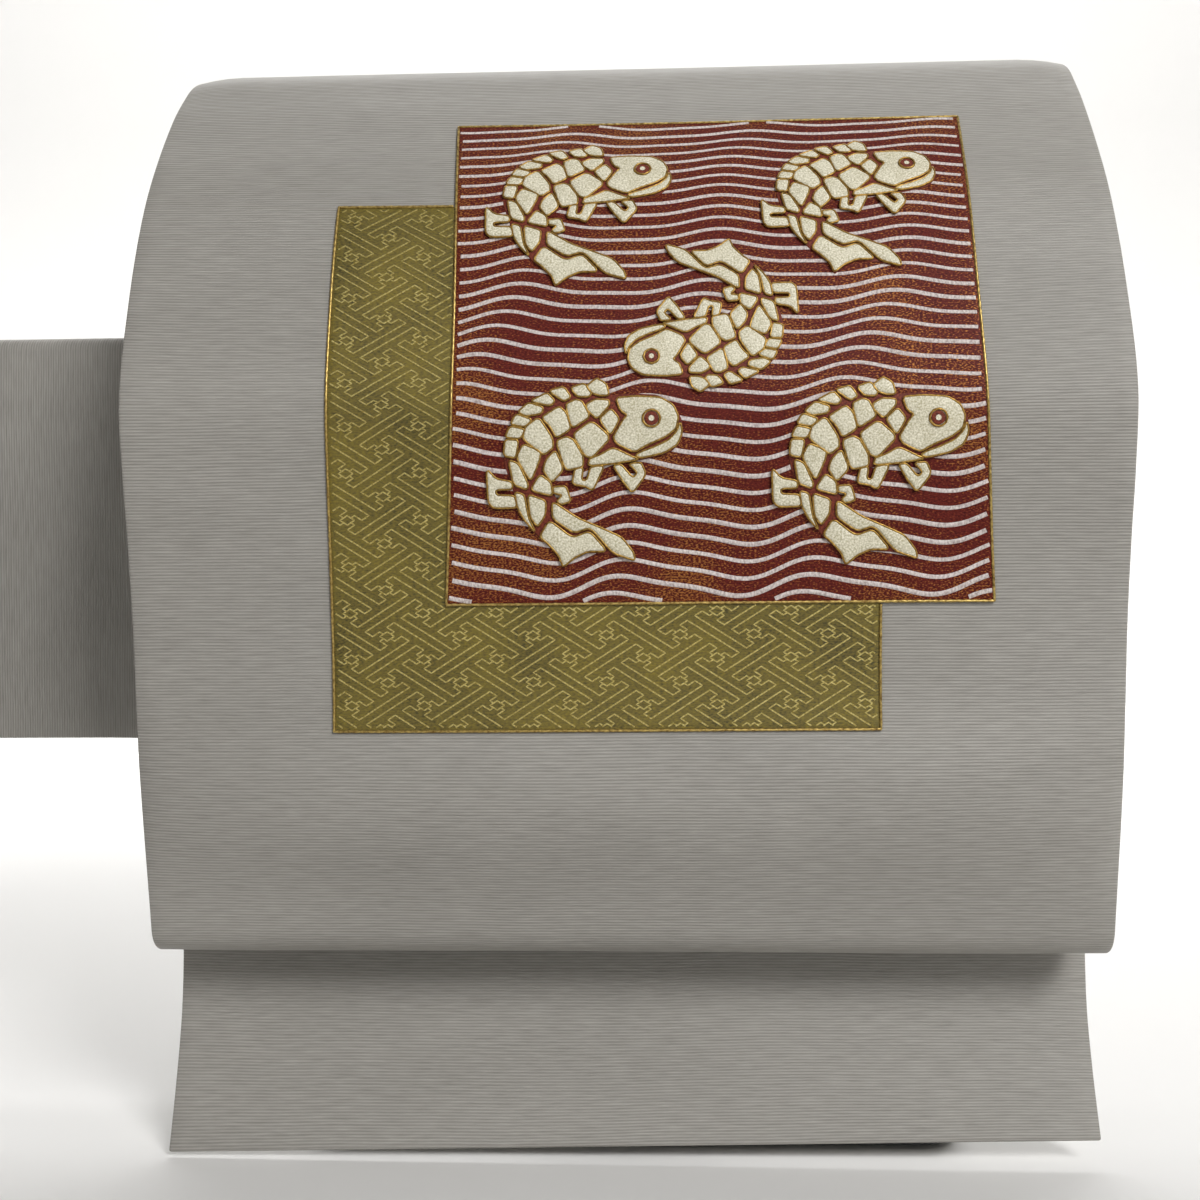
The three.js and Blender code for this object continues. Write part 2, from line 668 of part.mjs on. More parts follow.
function through(outline) {
  return toSolid(prismY(outline, -drumReach - 30, 10));
}

const patchPly = [gap, gap + patchThick];
const cordPly = [gap, gap + cordThick];
const carpPly = [gap + patchThick + gap, gap + patchThick + gap + carpThick];
const cordOuter = gap + cordWidth;
const redClear = through(grown(redSquare, cordOuter + gap));

add('olive_patch', onFace([grown(oliveSquare, 0)], patchPly).subtract(redClear), oliveBrocade);
add('olive_cord', onFace([grown(oliveSquare, cordOuter)], cordPly)
  .subtract(through(grown(oliveSquare, gap))).subtract(redClear), goldCord);
add('red_patch', onFace([grown(redSquare, 0)], patchPly), redBrocade);
add('red_cord', onFace([grown(redSquare, cordOuter)], cordPly)
  .subtract(through(grown(redSquare, gap))), goldCord);

// One carp about its own middle: x to the right, and up the cloth. It bends round to the left,
// with its head at the upper right and its tail sweeping to the lower right.
const carpBody = [
  [7, 24], [15, 24], [22, 23], [27, 20], [29.5, 14], [29, 9], [25, 5], [18, 3], [8, 2], [-2, 1.5],
  [-6.5, -0.5], [-9.5, -5], [-8, -9.5], [-2, -13], [5, -17], [11, -20], [15.5, -27.5], [8, -25],
  [2, -24.5], [-3, -26], [-7, -30], [-8.5, -24.5], [-15, -19], [-20, -13], [-23, -5], [-24.5, 3],
  [-24, 11], [-20.5, 18.5], [-15, 24], [-6, 27], [4, 28.5],
];
const carpFins = [
  [[15, 4], [19, -1.5], [15, -7], [8.5, 4]],
  [[4.5, 3], [2, -6.5], [-4.5, -3], [-4.5, 3]],
  [[-11, -3], [-5.5, -4], [-4, -9.5], [-10, -9.5]],
  [[-21, -2.5], [-27, -1.5], [-30.5, 1.5], [-30, -10], [-20, -10]],
];

// How much of a short length up the cloth is height, at one height on the drum's face.
function uprightShare(z) {
  const above = faceCurve.findLastIndex((point) => point.x < 0 && point.y > z);
  const step = faceCurve[above + 1].clone().sub(faceCurve[above]).normalize();
  return Math.abs(step.y);
}

// Places of the carp's middles, from the red square's middle, with their scale: below 0 it lies upside down.
const carpPlaces = [
  [-41.9, 45, 0.99], [42.8, 45.7, 0.93], [-1.5, 9.2, -0.89], [-39.8, -39.5, 1], [45.5, -40.1, 0.98],
];
const redMiddleZ = ridgeZ - redBelowRidge - redHeight / 2;
carpPlaces.forEach(([across, up, scale], index) => {
  const x = redCentreX + across;
  const z = redMiddleZ + up;
  const upright = uprightShare(z);
  const place = ([u, v]) => new THREE.Vector2(x + scale * u, z + scale * upright * v);
  const outlines = [carpBody, ...carpFins].map((outline) => outline.map(place));
  add(`carp_${index + 1}`, onFace(outlines, carpPly), creamSatin);
});

// ---------------------------------------------------------------------------------------------
// Hand end: a strip folded in two over its rod, which slides along the rod

const teFootZ = teTopZ - sashWidth / 2;
const teRightX = legInnerX - teSlideRoom;
const tePath = [
  new THREE.Vector2(teRodBehind + teFaceRadius, teFootZ),
  ...arc(teRodBehind, teRodZ, teFaceRadius, 0, 180, 12),
  new THREE.Vector2(teRodBehind - teFaceRadius, teFootZ),
];
add('te_face_silk', prismX(ply(tePath, plies.silk), teLeftX, teRightX), silk);
add('te_interlining', prismX(ply(tePath, plies.core), teLeftX, teRightX), coreCloth);
add('te_lining', prismX(ply(tePath, plies.lining), teLeftX, teRightX), liningCloth);

// ---------------------------------------------------------------------------------------------
// Hem flap: the end of the same strip, which swings at the hinge line

const tareTopZ = tareHingeZ - tareTopDrop;
const tareFall = tareTopZ - tareHemZ;
const tarePath = smooth([
  [tareFaceY, tareTopZ], [tareFaceY - 0.12 * tareLean, tareTopZ - 0.3 * tareFall],
  [tareFaceY - 0.5 * tareLean, tareTopZ - 0.65 * tareFall], [tareFaceY - tareLean, tareHemZ],
], 4);
add('tare_face_silk', prismX(ply(tarePath, plies.silk), -clothHalf, clothHalf), silk);
add('tare_interlining', prismX(ply(tarePath, plies.core), -clothHalf, clothHalf), coreCloth);
add('tare_lining', prismX(ply(tarePath, plies.lining), -clothHalf, clothHalf), liningCloth);

export default sash;
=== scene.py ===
import math

import bmesh
import bpy
import numpy as np
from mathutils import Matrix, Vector
from mathutils.geometry import delaunay_2d_cdt


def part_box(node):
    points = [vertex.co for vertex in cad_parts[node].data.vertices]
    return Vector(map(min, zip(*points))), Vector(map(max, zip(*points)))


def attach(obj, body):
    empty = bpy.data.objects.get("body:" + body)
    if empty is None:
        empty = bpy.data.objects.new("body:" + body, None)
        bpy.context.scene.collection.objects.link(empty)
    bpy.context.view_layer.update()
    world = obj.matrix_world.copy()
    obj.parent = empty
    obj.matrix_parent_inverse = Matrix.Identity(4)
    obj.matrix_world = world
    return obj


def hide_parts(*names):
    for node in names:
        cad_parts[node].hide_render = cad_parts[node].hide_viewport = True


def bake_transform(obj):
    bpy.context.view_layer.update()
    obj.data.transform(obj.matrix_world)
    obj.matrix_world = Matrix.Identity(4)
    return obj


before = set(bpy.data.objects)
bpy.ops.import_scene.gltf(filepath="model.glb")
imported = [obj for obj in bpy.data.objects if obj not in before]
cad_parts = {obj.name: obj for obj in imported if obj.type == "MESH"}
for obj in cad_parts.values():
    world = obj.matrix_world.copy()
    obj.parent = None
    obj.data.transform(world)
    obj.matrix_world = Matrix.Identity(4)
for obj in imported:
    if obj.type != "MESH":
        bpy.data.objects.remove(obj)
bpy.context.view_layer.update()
mm = 0.001

# ---------------------------------------------------------------------------------------------
# Camera: level with the middle of the drum and a little to its right, as a shopper stands before
# it. The lens is a short telephoto for the small distance.

camera_data = bpy.data.cameras.new("camera")
camera_data.sensor_width = 36
camera_data.lens = 40.2
camera_data.clip_start = 0.01
camera = bpy.data.objects.new("camera", camera_data)
bpy.context.collection.objects.link(camera)
camera.location = (0.0096, -0.5398, 0.1834)
camera.rotation_euler = (math.radians(90), math.radians(0.41), math.radians(2.31))
bpy.context.scene.camera = camera


# ---------------------------------------------------------------------------------------------
# Studio: a pale paper sweep under and round the object. The key box stands high in front and to
# the right, which leaves the inner part of the hand end in the drum's shadow. Two more boxes
# light the floor behind the object and the backdrop.

def deselect():
    """Clears the selection."""
    for chosen in bpy.context.selected_objects:
        chosen.select_set(False)


def linear(hex_colour):
    """The linear colour of an sRGB hex colour."""
    channels = [int(hex_colour[i:i + 2], 16) / 255 for i in (1, 3, 5)]
    return tuple(c / 12.92 if c <= 0.04045 else ((c + 0.055) / 1.055) ** 2.4 for c in channels) + (1.0,)


def add_node(tree, kind, links=(), **settings):
    """Adds a node. A setting is a socket's value, or a property of the node.
    A link is (from, output, input)."""
    node = tree.nodes.new(kind)
    for name, value in settings.items():
        label = name.replace("_", " ")
        if hasattr(node, name):
            setattr(node, name, value)
        else:
            matches = [s for s in node.inputs if s.name.lower() == label.lower() and s.enabled]
            matches[0].default_value = value
    for source, output, into in links:
        tree.links.new(source.outputs[output], node.inputs[into])
    return node


def new_material(name, **surface):
    """A material with one Principled shader, whose uniform values are set on its own sockets."""
    material = bpy.data.materials.new(name)
    material.use_nodes = True
    tree = material.node_tree
    tree.nodes.clear()
    shader = add_node(tree, "ShaderNodeBsdfPrincipled", **surface)
    out = tree.nodes.new("ShaderNodeOutputMaterial")
    tree.links.new(shader.outputs[0], out.inputs[0])
    return material, tree, shader


def soft_box(name, place, target, size, power):
    """A rectangular light in metres and watts, turned to face its target."""
    data = bpy.data.lights.new(name, "AREA")
    data.shape = "RECTANGLE"
    data.size, data.size_y = size
    data.energy = power
    lamp = bpy.data.objects.new(name, data)
    bpy.context.collection.objects.link(lamp)
    lamp.location = place
    lamp.rotation_euler = (Vector(target) - Vector(place)).to_track_quat("-Z", "Y").to_euler()
    return lamp


sweep_radius, sweep_bend, sweep_height, sweep_sides = 2.6, 1.2, 4.0, 64
sweep_path = [(0.7, 0.0), (sweep_radius - sweep_bend, 0.0)]
for step in range(1, 13):
    turn = math.radians(90 * step / 12)
    sweep_path.append((sweep_radius - sweep_bend + sweep_bend * math.sin(turn),
                       sweep_bend - sweep_bend * math.cos(turn)))
sweep_path.append((sweep_radius, sweep_height))
sweep_points = []
sweep_faces = [list(range(sweep_sides))]
for ring, (out_by, up_by) in enumerate(sweep_path):
    for k in range(sweep_sides):
        turn = 2 * math.pi * k / sweep_sides
        sweep_points.append((out_by * math.cos(turn), out_by * math.sin(turn), up_by - 0.0005))
        if ring:
            a, b = (ring - 1) * sweep_sides + k, (ring - 1) * sweep_sides + (k + 1) % sweep_sides
            sweep_faces.append((a, a + sweep_sides, b + sweep_sides, b))
sweep_mesh = bpy.data.meshes.new("paper_sweep")
sweep_mesh.from_pydata(sweep_points, [], sweep_faces)
sweep = bpy.data.objects.new("paper_sweep", sweep_mesh)
bpy.context.collection.objects.link(sweep)
sweep_mesh.shade_smooth()
# Matte paper: off-white and dull, so that it takes only soft shadows.
paper = new_material("matte_paper", base_color=linear("#dddcda"), roughness=0.9)[0]
sweep_mesh.materials.append(paper)

key_box = soft_box("key_box", (0.95, -1.55, 1.3), (0.0, -0.1, 0.2), (0.7, 0.7), 7.2)
key_box.data.spread = math.radians(80)
floor_box = soft_box("floor_box", (0.0, 1.3, 1.9), (0.0, 0.75, 0.0), (2.8, 0.8), 16)
floor_box.data.spread = math.radians(110)
backdrop_box = soft_box("backdrop_box", (0.0, 0.9, 3.2), (0.0, 2.2, 0.8), (3.0, 1.0), 46)
backdrop_box.data.spread = math.radians(100)

world = bpy.data.worlds.new("studio")
bpy.context.scene.world = world
world.use_nodes = True
world.node_tree.nodes["Background"].inputs["Color"].default_value = linear("#f3f4f7")
world.node_tree.nodes["Background"].inputs["Strength"].default_value = 0.2
bpy.context.scene.view_settings.view_transform = "Standard"


# ---------------------------------------------------------------------------------------------
# The sash's run: one strip that goes from the hanging back of the drum over the pillow, down the
# face, round the roll, up inside, over the bar and down to the hem flap. Every piece of cloth
# and applique on the drum is laid on this run.

def middle(node):
    """The middle of a measured node's box."""
    low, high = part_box(node)
    return (low + high) / 2


drum_low, drum_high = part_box("drum_face_silk")
flap_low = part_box("tare_face_silk")[0]
post_y = middle("inner_tube").y
roll = middle("fold_tube")
bar = middle("tare_bar")
sash_half = drum_high.x
cloth = 2.6 * mm
gap = 0.3 * mm
roll_radius = (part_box("fold_tube")[1].z - roll.z) + gap + cloth
bar_radius = (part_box("tare_bar")[1].z - bar.z) + gap
rise = drum_high.z - 1.0 * mm - roll.z
reach = post_y - drum_low.y
back = drum_high.y - post_y


def through_points(points, steps):
    """A smooth run through the points, which passes close corners without overshooting."""
    ends = [2 * points[0] - points[1], *points, 2 * points[-1] - points[-2]]
    run = []
    for a, b, c, d in zip(ends, ends[1:], ends[2:], ends[3:]):
        steps_apart = [math.sqrt(np.linalg.norm(q - p)) for p, q in ((a, b), (b, c), (c, d))]
        knots = np.cumsum([0.0] + steps_apart)
        for t in np.linspace(knots[1], knots[2], steps, endpoint=False):
            ab = a + (b - a) * (t - knots[0]) / (knots[1] - knots[0])
            bc = b + (c - b) * (t - knots[1]) / (knots[2] - knots[1])
            cd = c + (d - c) * (t - knots[2]) / (knots[3] - knots[2])
            abc = ab + (bc - ab) * (t - knots[0]) / (knots[2] - knots[0])
            bcd = bc + (cd - bc) * (t - knots[1]) / (knots[3] - knots[1])
            run.append(abc + (bcd - abc) * (t - knots[1]) / (knots[2] - knots[1]))
    return run + [points[-1]]


def arc_points(centre, radius, start, end, steps):
    turns = np.radians(np.linspace(start, end, steps + 1))
    return [np.array((centre.y + radius * math.cos(t), centre.z + radius * math.sin(t))) for t in turns]


face_shares = [
    (back, 0.60), (back, 0.80), (back - 0.6 * mm, 0.862), (back - 5.5 * mm, 0.94), (back - 21 * mm, 1.0),
    (-3 * mm, 0.996), (-16 * mm, 0.975), (-26 * mm, 0.938), (-35 * mm, 0.899), (-0.71 * reach, 0.785),
    (-0.90 * reach, 0.664), (-reach, 0.560), (-0.97 * reach, 0.480), (-0.92 * reach, 0.410),
    (-0.87 * reach, 0.322), (-0.846 * reach, 0.250), (-0.815 * reach, 0.165)]
roll_arc = arc_points(roll, roll_radius, 194, 360, 22)
bar_arc = arc_points(bar, bar_radius, 180, 0, 14)
face_corners = [np.array((post_y + y, roll.z + share * rise)) for y, share in face_shares]
flap_front = bar.y + bar_radius
hem_lean = flap_front - flap_low.y
fall = drum_low.z - flap_low.z
flap_corners = [np.array(p) for p in (
    (flap_front, drum_low.z + 40 * mm), (flap_front, drum_low.z),
    (flap_front - 0.12 * hem_lean, drum_low.z - 0.32 * fall),
    (flap_front - 0.5 * hem_lean, drum_low.z - 0.66 * fall), (flap_front - hem_lean, flap_low.z))]
run_points = [np.array((drum_high.y, 0.119))]
run_points += through_points([*face_corners, roll_arc[0]], 9)
run_points += roll_arc[1:]
run_points += bar_arc
run_points += through_points(flap_corners, 9)
run_points = np.array(run_points)
run_length = np.concatenate([[0], np.cumsum(np.linalg.norm(np.diff(run_points, axis=0), axis=1))])
sash_length = run_length[-1]


def run_at(s):
    """Points (y, z) and outward directions of the silk face at distances s along the run."""
    s = np.asarray(s, float)
    place = np.stack([np.interp(s, run_length, run_points[:, k]) for k in (0, 1)], -1)
    reach_out = 1.2 * mm
    ahead = np.stack([np.interp(s + reach_out, run_length, run_points[:, k]) for k in (0, 1)], -1)
    behind = np.stack([np.interp(s - reach_out, run_length, run_points[:, k]) for k in (0, 1)], -1)
    along = ahead - behind
    along /= np.linalg.norm(along, axis=-1, keepdims=True)
    return place, np.stack([along[..., 1], -along[..., 0]], -1)


ridge_s = run_length[np.argmax(run_points[:, 1])]
roll_s = run_length[np.argmin(np.where(run_points[:, 0] < roll.y, run_points[:, 1], 1.0))]
face_mask = (run_length >= ridge_s) & (run_length <= roll_s)
face_heights = run_points[face_mask, 1][::-1]
face_distances = run_length[face_mask][::-1]


def face_s(z):
    """How far along the run the drum's face is at height z."""
    return np.interp(z, face_heights, face_distances)


def lay(x, s, height=0.0):
    """Points at x and s on the silk face, raised by height. The cloth strays a little from its
    plain run: the face sinks in the middle and swells above the roll, the ridge's ends draw in,
    and the hem isn't level."""
    x, s, height = np.broadcast_arrays(*[np.asarray(part, float) for part in (x, s, height)])
    place, outward = run_at(s)
    side = x / sash_half
    on_face = np.exp(-((s - face_s(0.22)) / 0.13) ** 2)
    middle_share = 1 - side ** 2
    out = on_face * (0.8 * mm * np.sin(2.1 * side + 0.7) * np.cos((s - face_s(0.25)) * 34)
                     + 0.5 * mm * np.sin(4.3 * side + 1.9 + 21 * (s - face_s(0.2))))
    out = out - 4.5 * mm * middle_share * np.exp(-((s - face_s(0.245)) / 0.045) ** 2)
    out = out + 6.5 * mm * np.sqrt(middle_share + 1e-9) * np.exp(-((s - face_s(0.118)) / 0.024) ** 2)
    ridge = np.exp(-((s - ridge_s) / 0.034) ** 2)
    out = out - np.clip((np.abs(side) - 0.9) / 0.1, 0, 1) ** 2 * ridge * 2.4 * mm
    drawn_in = ridge * np.clip(-side, 0, 1) ** 3 * 3.2 * mm
    toward_hem = np.clip((s - (sash_length - fall)) / fall, 0, 1)
    hem_lift = toward_hem ** 1.5 * 3.3 * mm * side
    place = place + outward * (out + height)[..., None]
    return np.stack([x + drawn_in, place[..., 0], place[..., 1] + hem_lift], -1)


# ---------------------------------------------------------------------------------------------
# Sash silk: a heavy ribbed silk, woven with a thick weft that gives a fine rib right across the
# strip. It is turned over the interlining at both edges, so one band stands for the two.

rib_pitch = 0.95 * mm


def ribbed_silk(name, rib_axis):
    """Grey ribbed silk: dull gloss, uneven threads and a faint watered figure. Its ribs are
    drawn coarser than woven ones, so that they show. Its UV map is in metres."""
    material, tree, shader = new_material(
        name, roughness=0.55, sheen_weight=0.25, sheen_roughness=0.5, sheen_tint=linear("#c9c4ba"),
        specular_ior_level=0.3)
    place = add_node(tree, "ShaderNodeUVMap", uv_map="cloth")
    split = add_node(tree, "ShaderNodeSeparateXYZ", [(place, 0, 0)])
    wobble = add_node(tree, "ShaderNodeTexNoise", [(place, 0, "Vector")], scale=9.0, detail=2.0)
    shift = add_node(tree, "ShaderNodeMath", [(wobble, 0, 0)], operation="MULTIPLY")
    shift.inputs[1].default_value = 3.0 * mm
    moved = add_node(tree, "ShaderNodeMath", [(split, rib_axis, 0), (shift, 0, 1)], operation="ADD")
    turns = add_node(tree, "ShaderNodeMath", [(moved, 0, 0)], operation="MULTIPLY")
    turns.inputs[1].default_value = 2 * math.pi / rib_pitch
    rib = add_node(tree, "ShaderNodeMath", [(turns, 0, 0)], operation="SINE")
    thread_place = add_node(tree, "ShaderNodeMapping", [(place, 0, 0)])
    thread_place.inputs["Scale"].default_value = (110, 1050, 1) if rib_axis == 1 else (1050, 110, 1)
    threads = add_node(tree, "ShaderNodeTexNoise", [(thread_place, 0, "Vector")], scale=1.0, detail=3.0)
    water_place = add_node(tree, "ShaderNodeMapping", [(place, 0, 0)])
    water_place.inputs["Scale"].default_value = (7, 22, 1) if rib_axis == 1 else (22, 7, 1)
    water = add_node(tree, "ShaderNodeTexNoise", [(water_place, 0, "Vector")], scale=1.0, detail=1.0,
                     distortion=1.2)
    rib_tone = add_node(tree, "ShaderNodeMath", [(rib, 0, 0)], operation="MULTIPLY")
    rib_tone.inputs[1].default_value = 0.16
    thread_share = add_node(tree, "ShaderNodeMath", [(threads, 0, 0)], operation="MULTIPLY")
    thread_share.inputs[1].default_value = 0.55
    thread_tone = add_node(tree, "ShaderNodeMath", [(thread_share, 0, 0), (rib_tone, 0, 1)],
                           operation="ADD")
    water_tone = add_node(tree, "ShaderNodeMath", [(water, 0, 0)], operation="MULTIPLY")
    water_tone.inputs[1].default_value = 0.25
    tone = add_node(tree, "ShaderNodeMath", [(thread_tone, 0, 0), (water_tone, 0, 1)], operation="ADD")
    ramp = add_node(tree, "ShaderNodeValToRGB", [(tone, 0, 0)])
    ramp.color_ramp.elements[0].position = 0.08
    ramp.color_ramp.elements[0].color = linear("#7b7872")
    ramp.color_ramp.elements[1].position = 0.72
    ramp.color_ramp.elements[1].color = linear("#a3a09a")
    tree.links.new(ramp.outputs[0], shader.inputs["Base Color"])
    raised = add_node(tree, "ShaderNodeMath", [(rib, 0, 0), (threads, 0, 1)], operation="ADD")
    bump = add_node(tree, "ShaderNodeBump", [(raised, 0, "Height")], strength=0.4, distance=0.1 * mm)
    tree.links.new(bump.outputs[0], shader.inputs["Normal"])
    return material


def grid_piece(name, points, flat):
    """A cloth grid of points[i][j], facing its outer side, with its flat cut in metres as the UV map."""
    rows, columns = points.shape[:2]
    index = np.arange(rows * columns).reshape(rows, columns)
    quads = np.stack([index[:-1, :-1], index[1:, :-1], index[1:, 1:], index[:-1, 1:]], -1).reshape(-1, 4)
    mesh = bpy.data.meshes.new(name)
    mesh.from_pydata(points.reshape(-1, 3).tolist(), [], quads.tolist())
    uv = mesh.uv_layers.new(name="cloth")
    corner = np.empty(len(mesh.loops), np.int32)
    mesh.loops.foreach_get("vertex_index", corner)
    uv.data.foreach_set("uv", flat.reshape(-1, 2)[corner].astype(np.float32).ravel())
    piece = bpy.data.objects.new(name, mesh)
    bpy.context.collection.objects.link(piece)
    return piece


def finish_shape(piece, angle=50):
    """Applies the modifiers of the piece and shades it smooth, except at edges sharper than the angle."""
    deselect()
    bpy.context.view_layer.objects.active = piece
    piece.select_set(True)
    for modifier in list(piece.modifiers):
        bpy.ops.object.modifier_apply(modifier=modifier.name)
    bpy.ops.object.shade_smooth_by_angle(angle=math.radians(angle))
    piece.select_set(False)


def thicken(piece, thickness, rounding):
    """Gives a cloth its thickness on the inner side, and rounds its edges."""
    wall = piece.modifiers.new("wall", "SOLIDIFY")
    wall.thickness = thickness
    wall.offset = -1.0
    rim = piece.modifiers.new("rim", "BEVEL")
    rim.width = rounding
    rim.segments = 2
    rim.limit_method = "ANGLE"
    rim.angle_limit = math.radians(60)
    finish_shape(piece)


band = 2.05 * mm
sash_s = np.unique(np.concatenate([np.linspace(0, sash_length, 200), run_length]))
sash_s = sash_s[np.concatenate([[True], np.diff(sash_s) > 0.4 * mm])]
sash_x = np.linspace(-sash_half, sash_half, 62)
sash_silk = grid_piece("sash_silk", lay(sash_x[None, :], sash_s[:, None]),
                       np.stack(np.broadcast_arrays(sash_x[None, :], sash_s[:, None]), -1))
thicken(sash_silk, band, 0.7 * mm)
sash_silk.data.materials.append(ribbed_silk("ribbed_sash_silk", 1))
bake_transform(sash_silk)
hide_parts("drum_face_silk", "drum_interlining", "tare_face_silk", "tare_interlining")

# ---------------------------------------------------------------------------------------------
# Sash lining: a plain-woven silk, set in from the edges of the strip and slip-stitched to the
# turnings of the face silk. It touches the roll, the bar and the pillow.

lining_inset = 7 * mm
lining_x = np.linspace(-sash_half + lining_inset, sash_half - lining_inset, 50)
lining_s = sash_s[(sash_s > lining_inset) & (sash_s < sash_length - lining_inset)]
sash_lining = grid_piece("sash_lining", lay(lining_x[None, :], lining_s[:, None], -2.1 * mm),
                         np.stack(np.broadcast_arrays(lining_x[None, :], lining_s[:, None]), -1))
thicken(sash_lining, 0.45 * mm, 0.15 * mm)
# Plain-woven silk lining: a dull grey, a little yellow, with a fine even mottle of its yarn.
lining_silk, tree, shader = new_material("plain_woven_lining", roughness=0.6, specular_ior_level=0.3,
                                         sheen_weight=0.2, sheen_roughness=0.5)
place = add_node(tree, "ShaderNodeUVMap", uv_map="cloth")
weave = add_node(tree, "ShaderNodeMapping", [(place, 0, 0)])
weave.inputs["Scale"].default_value = (700, 700, 1)
yarn = add_node(tree, "ShaderNodeTexNoise", [(weave, 0, "Vector")], scale=1.0, detail=2.0)
ramp = add_node(tree, "ShaderNodeValToRGB", [(yarn, 0, 0)])
ramp.color_ramp.elements[0].position = 0.3
ramp.color_ramp.elements[0].color = linear("#8f8b82")
ramp.color_ramp.elements[1].position = 0.7
ramp.color_ramp.elements[1].color = linear("#a8a498")
tree.links.new(ramp.outputs[0], shader.inputs["Base Color"])
bump = add_node(tree, "ShaderNodeBump", [(yarn, 0, "Height")], strength=0.3, distance=0.1 * mm)
tree.links.new(bump.outputs[0], shader.inputs["Normal"])
sash_lining.data.materials.append(lining_silk)
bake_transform(sash_lining)
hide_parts("drum_lining", "tare_lining")

# ---------------------------------------------------------------------------------------------
# Hand end: the other end of the same silk, folded in half along its length over a thin rod. It
# crosses the hollow of the drum and stands out at the left. Its ribs stand upright.

hand_low, hand_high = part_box("te_face_silk")
hand_radius = (hand_high.y - hand_low.y) / 2
hand_fold = hand_high.z - hand_radius
hand_path = [np.array((hand_high.y, z)) for z in np.linspace(hand_low.z, hand_fold, 24)]
hand_centre = Vector((0, (hand_low.y + hand_high.y) / 2, hand_fold))
hand_path += arc_points(hand_centre, hand_radius, 0, 180, 16)[1:]
hand_path += [np.array((hand_low.y, z)) for z in np.linspace(hand_fold, hand_low.z, 24)][1:]
hand_path = np.array(hand_path)
hand_length = np.concatenate([[0], np.cumsum(np.linalg.norm(np.diff(hand_path, axis=0), axis=1))])


def lay_hand(x, s, height=0.0):
    """Points on the hand end's face. Its front leaf sags and turns back where it goes into the drum."""
    x, s, height = np.broadcast_arrays(*[np.asarray(part, float) for part in (x, s, height)])
    y = np.interp(s, hand_length, hand_path[:, 0])
    z = np.interp(s, hand_length, hand_path[:, 1])
    turn = np.arctan2(np.clip(z - hand_fold, 0, None), y - hand_centre.y)
    y = y + np.cos(turn) * height
    z = z + np.sin(turn) * height
    drop = np.clip((hand_fold - z) / (hand_fold - hand_low.z), 0, 1)
    near_drum = 1 / (1 + np.exp(-(x + sash_half + 14 * mm) / (7 * mm)))
    z = z - 3.6 * mm * drop ** 2 * near_drum
    y = y + np.where(y < hand_centre.y, 1, 0) * 1.6 * mm * drop * near_drum
    return np.stack([x, y, z], -1)


hand_x = np.linspace(hand_low.x, hand_high.x, 80)
hand_s = hand_length
hand_silk = grid_piece("hand_end_silk", lay_hand(hand_x[None, :], hand_s[:, None]),
                       np.stack(np.broadcast_arrays(hand_x[None, :], hand_s[:, None]), -1))
thicken(hand_silk, band, 0.7 * mm)
hand_silk.data.materials.append(ribbed_silk("ribbed_hand_end_silk", 0))
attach(hand_silk, "te")
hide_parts("te_face_silk", "te_interlining")

inner_x = np.linspace(hand_low.x + lining_inset, hand_high.x - lining_inset, 70)
inner_s = hand_s[(hand_s > lining_inset) & (hand_s < hand_length[-1] - lining_inset)]
hand_lining = grid_piece("hand_end_lining", lay_hand(inner_x[None, :], inner_s[:, None], -2.1 * mm),
                         np.stack(np.broadcast_arrays(inner_x[None, :], inner_s[:, None]), -1))
thicken(hand_lining, 0.45 * mm, 0.15 * mm)
hand_lining.data.materials.append(lining_silk)
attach(hand_lining, "te")
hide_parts("te_lining")

# ---------------------------------------------------------------------------------------------
# Olive square: a stiff brocade with olive silk and gilt paper strips in its ground. A slanting
# key fret in bright gilt thread is woven over it.

olive_low, olive_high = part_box("olive_patch")
red_low, red_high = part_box("red_patch")
red_top_s = face_s(red_high.z)
red_end_s = face_s(red_low.z)
olive_top_s = face_s(olive_high.z)
olive_end_s = face_s(olive_low.z)


def red_sides(s):
    """The red square's left and right edges, which are drawn in a little at mid height."""
    t = np.clip((np.asarray(s, float) - red_top_s) / (red_end_s - red_top_s), 0, 1)
    pull = 3.0 * mm * np.sin(math.pi * t)
    return red_low.x - 0.6 * mm + pull, red_high.x - 1.2 * mm + 2.6 * mm * t - pull


olive_s = np.linspace(olive_top_s, olive_end_s, 66)
olive_share = np.linspace(0, 1, 60)
olive_x = olive_low.x + olive_share * (olive_high.x - olive_low.x)
olive_square = grid_piece("olive_square", lay(olive_x[None, :], olive_s[:, None], 0.4 * mm),
                          np.stack(np.broadcast_arrays(olive_x[None, :], olive_s[:, None]), -1))
thicken(olive_square, 0.3 * mm, 0.08 * mm)
# Olive and gilt brocade: short picks of gilt glint here and there on dark olive, in soft patches.
olive_ground, tree, shader = new_material("olive_and_gilt_brocade", specular_ior_level=0.4)
place = add_node(tree, "ShaderNodeUVMap", uv_map="cloth")
rows = add_node(tree, "ShaderNodeMapping", [(place, 0, 0)])
rows.inputs["Scale"].default_value = (900, 1900, 1)
pick = add_node(tree, "ShaderNodeTexNoise", [(rows, 0, "Vector")], scale=1.0, detail=2.0)
worn = add_node(tree, "ShaderNodeTexNoise", [(place, 0, "Vector")], scale=42.0, detail=3.0)
faint = add_node(tree, "ShaderNodeMath", [(worn, 0, 0)], operation="MULTIPLY")
faint.inputs[1].default_value = 0.45
both = add_node(tree, "ShaderNodeMath", [(pick, 0, 0), (faint, 0, 1)], operation="ADD")
ramp = add_node(tree, "ShaderNodeValToRGB", [(both, 0, 0)])
ramp.color_ramp.elements[0].position = 0.5
ramp.color_ramp.elements[0].color = linear("#37300f")
ramp.color_ramp.elements[1].position = 0.98
ramp.color_ramp.elements[1].color = linear("#8a7a35")
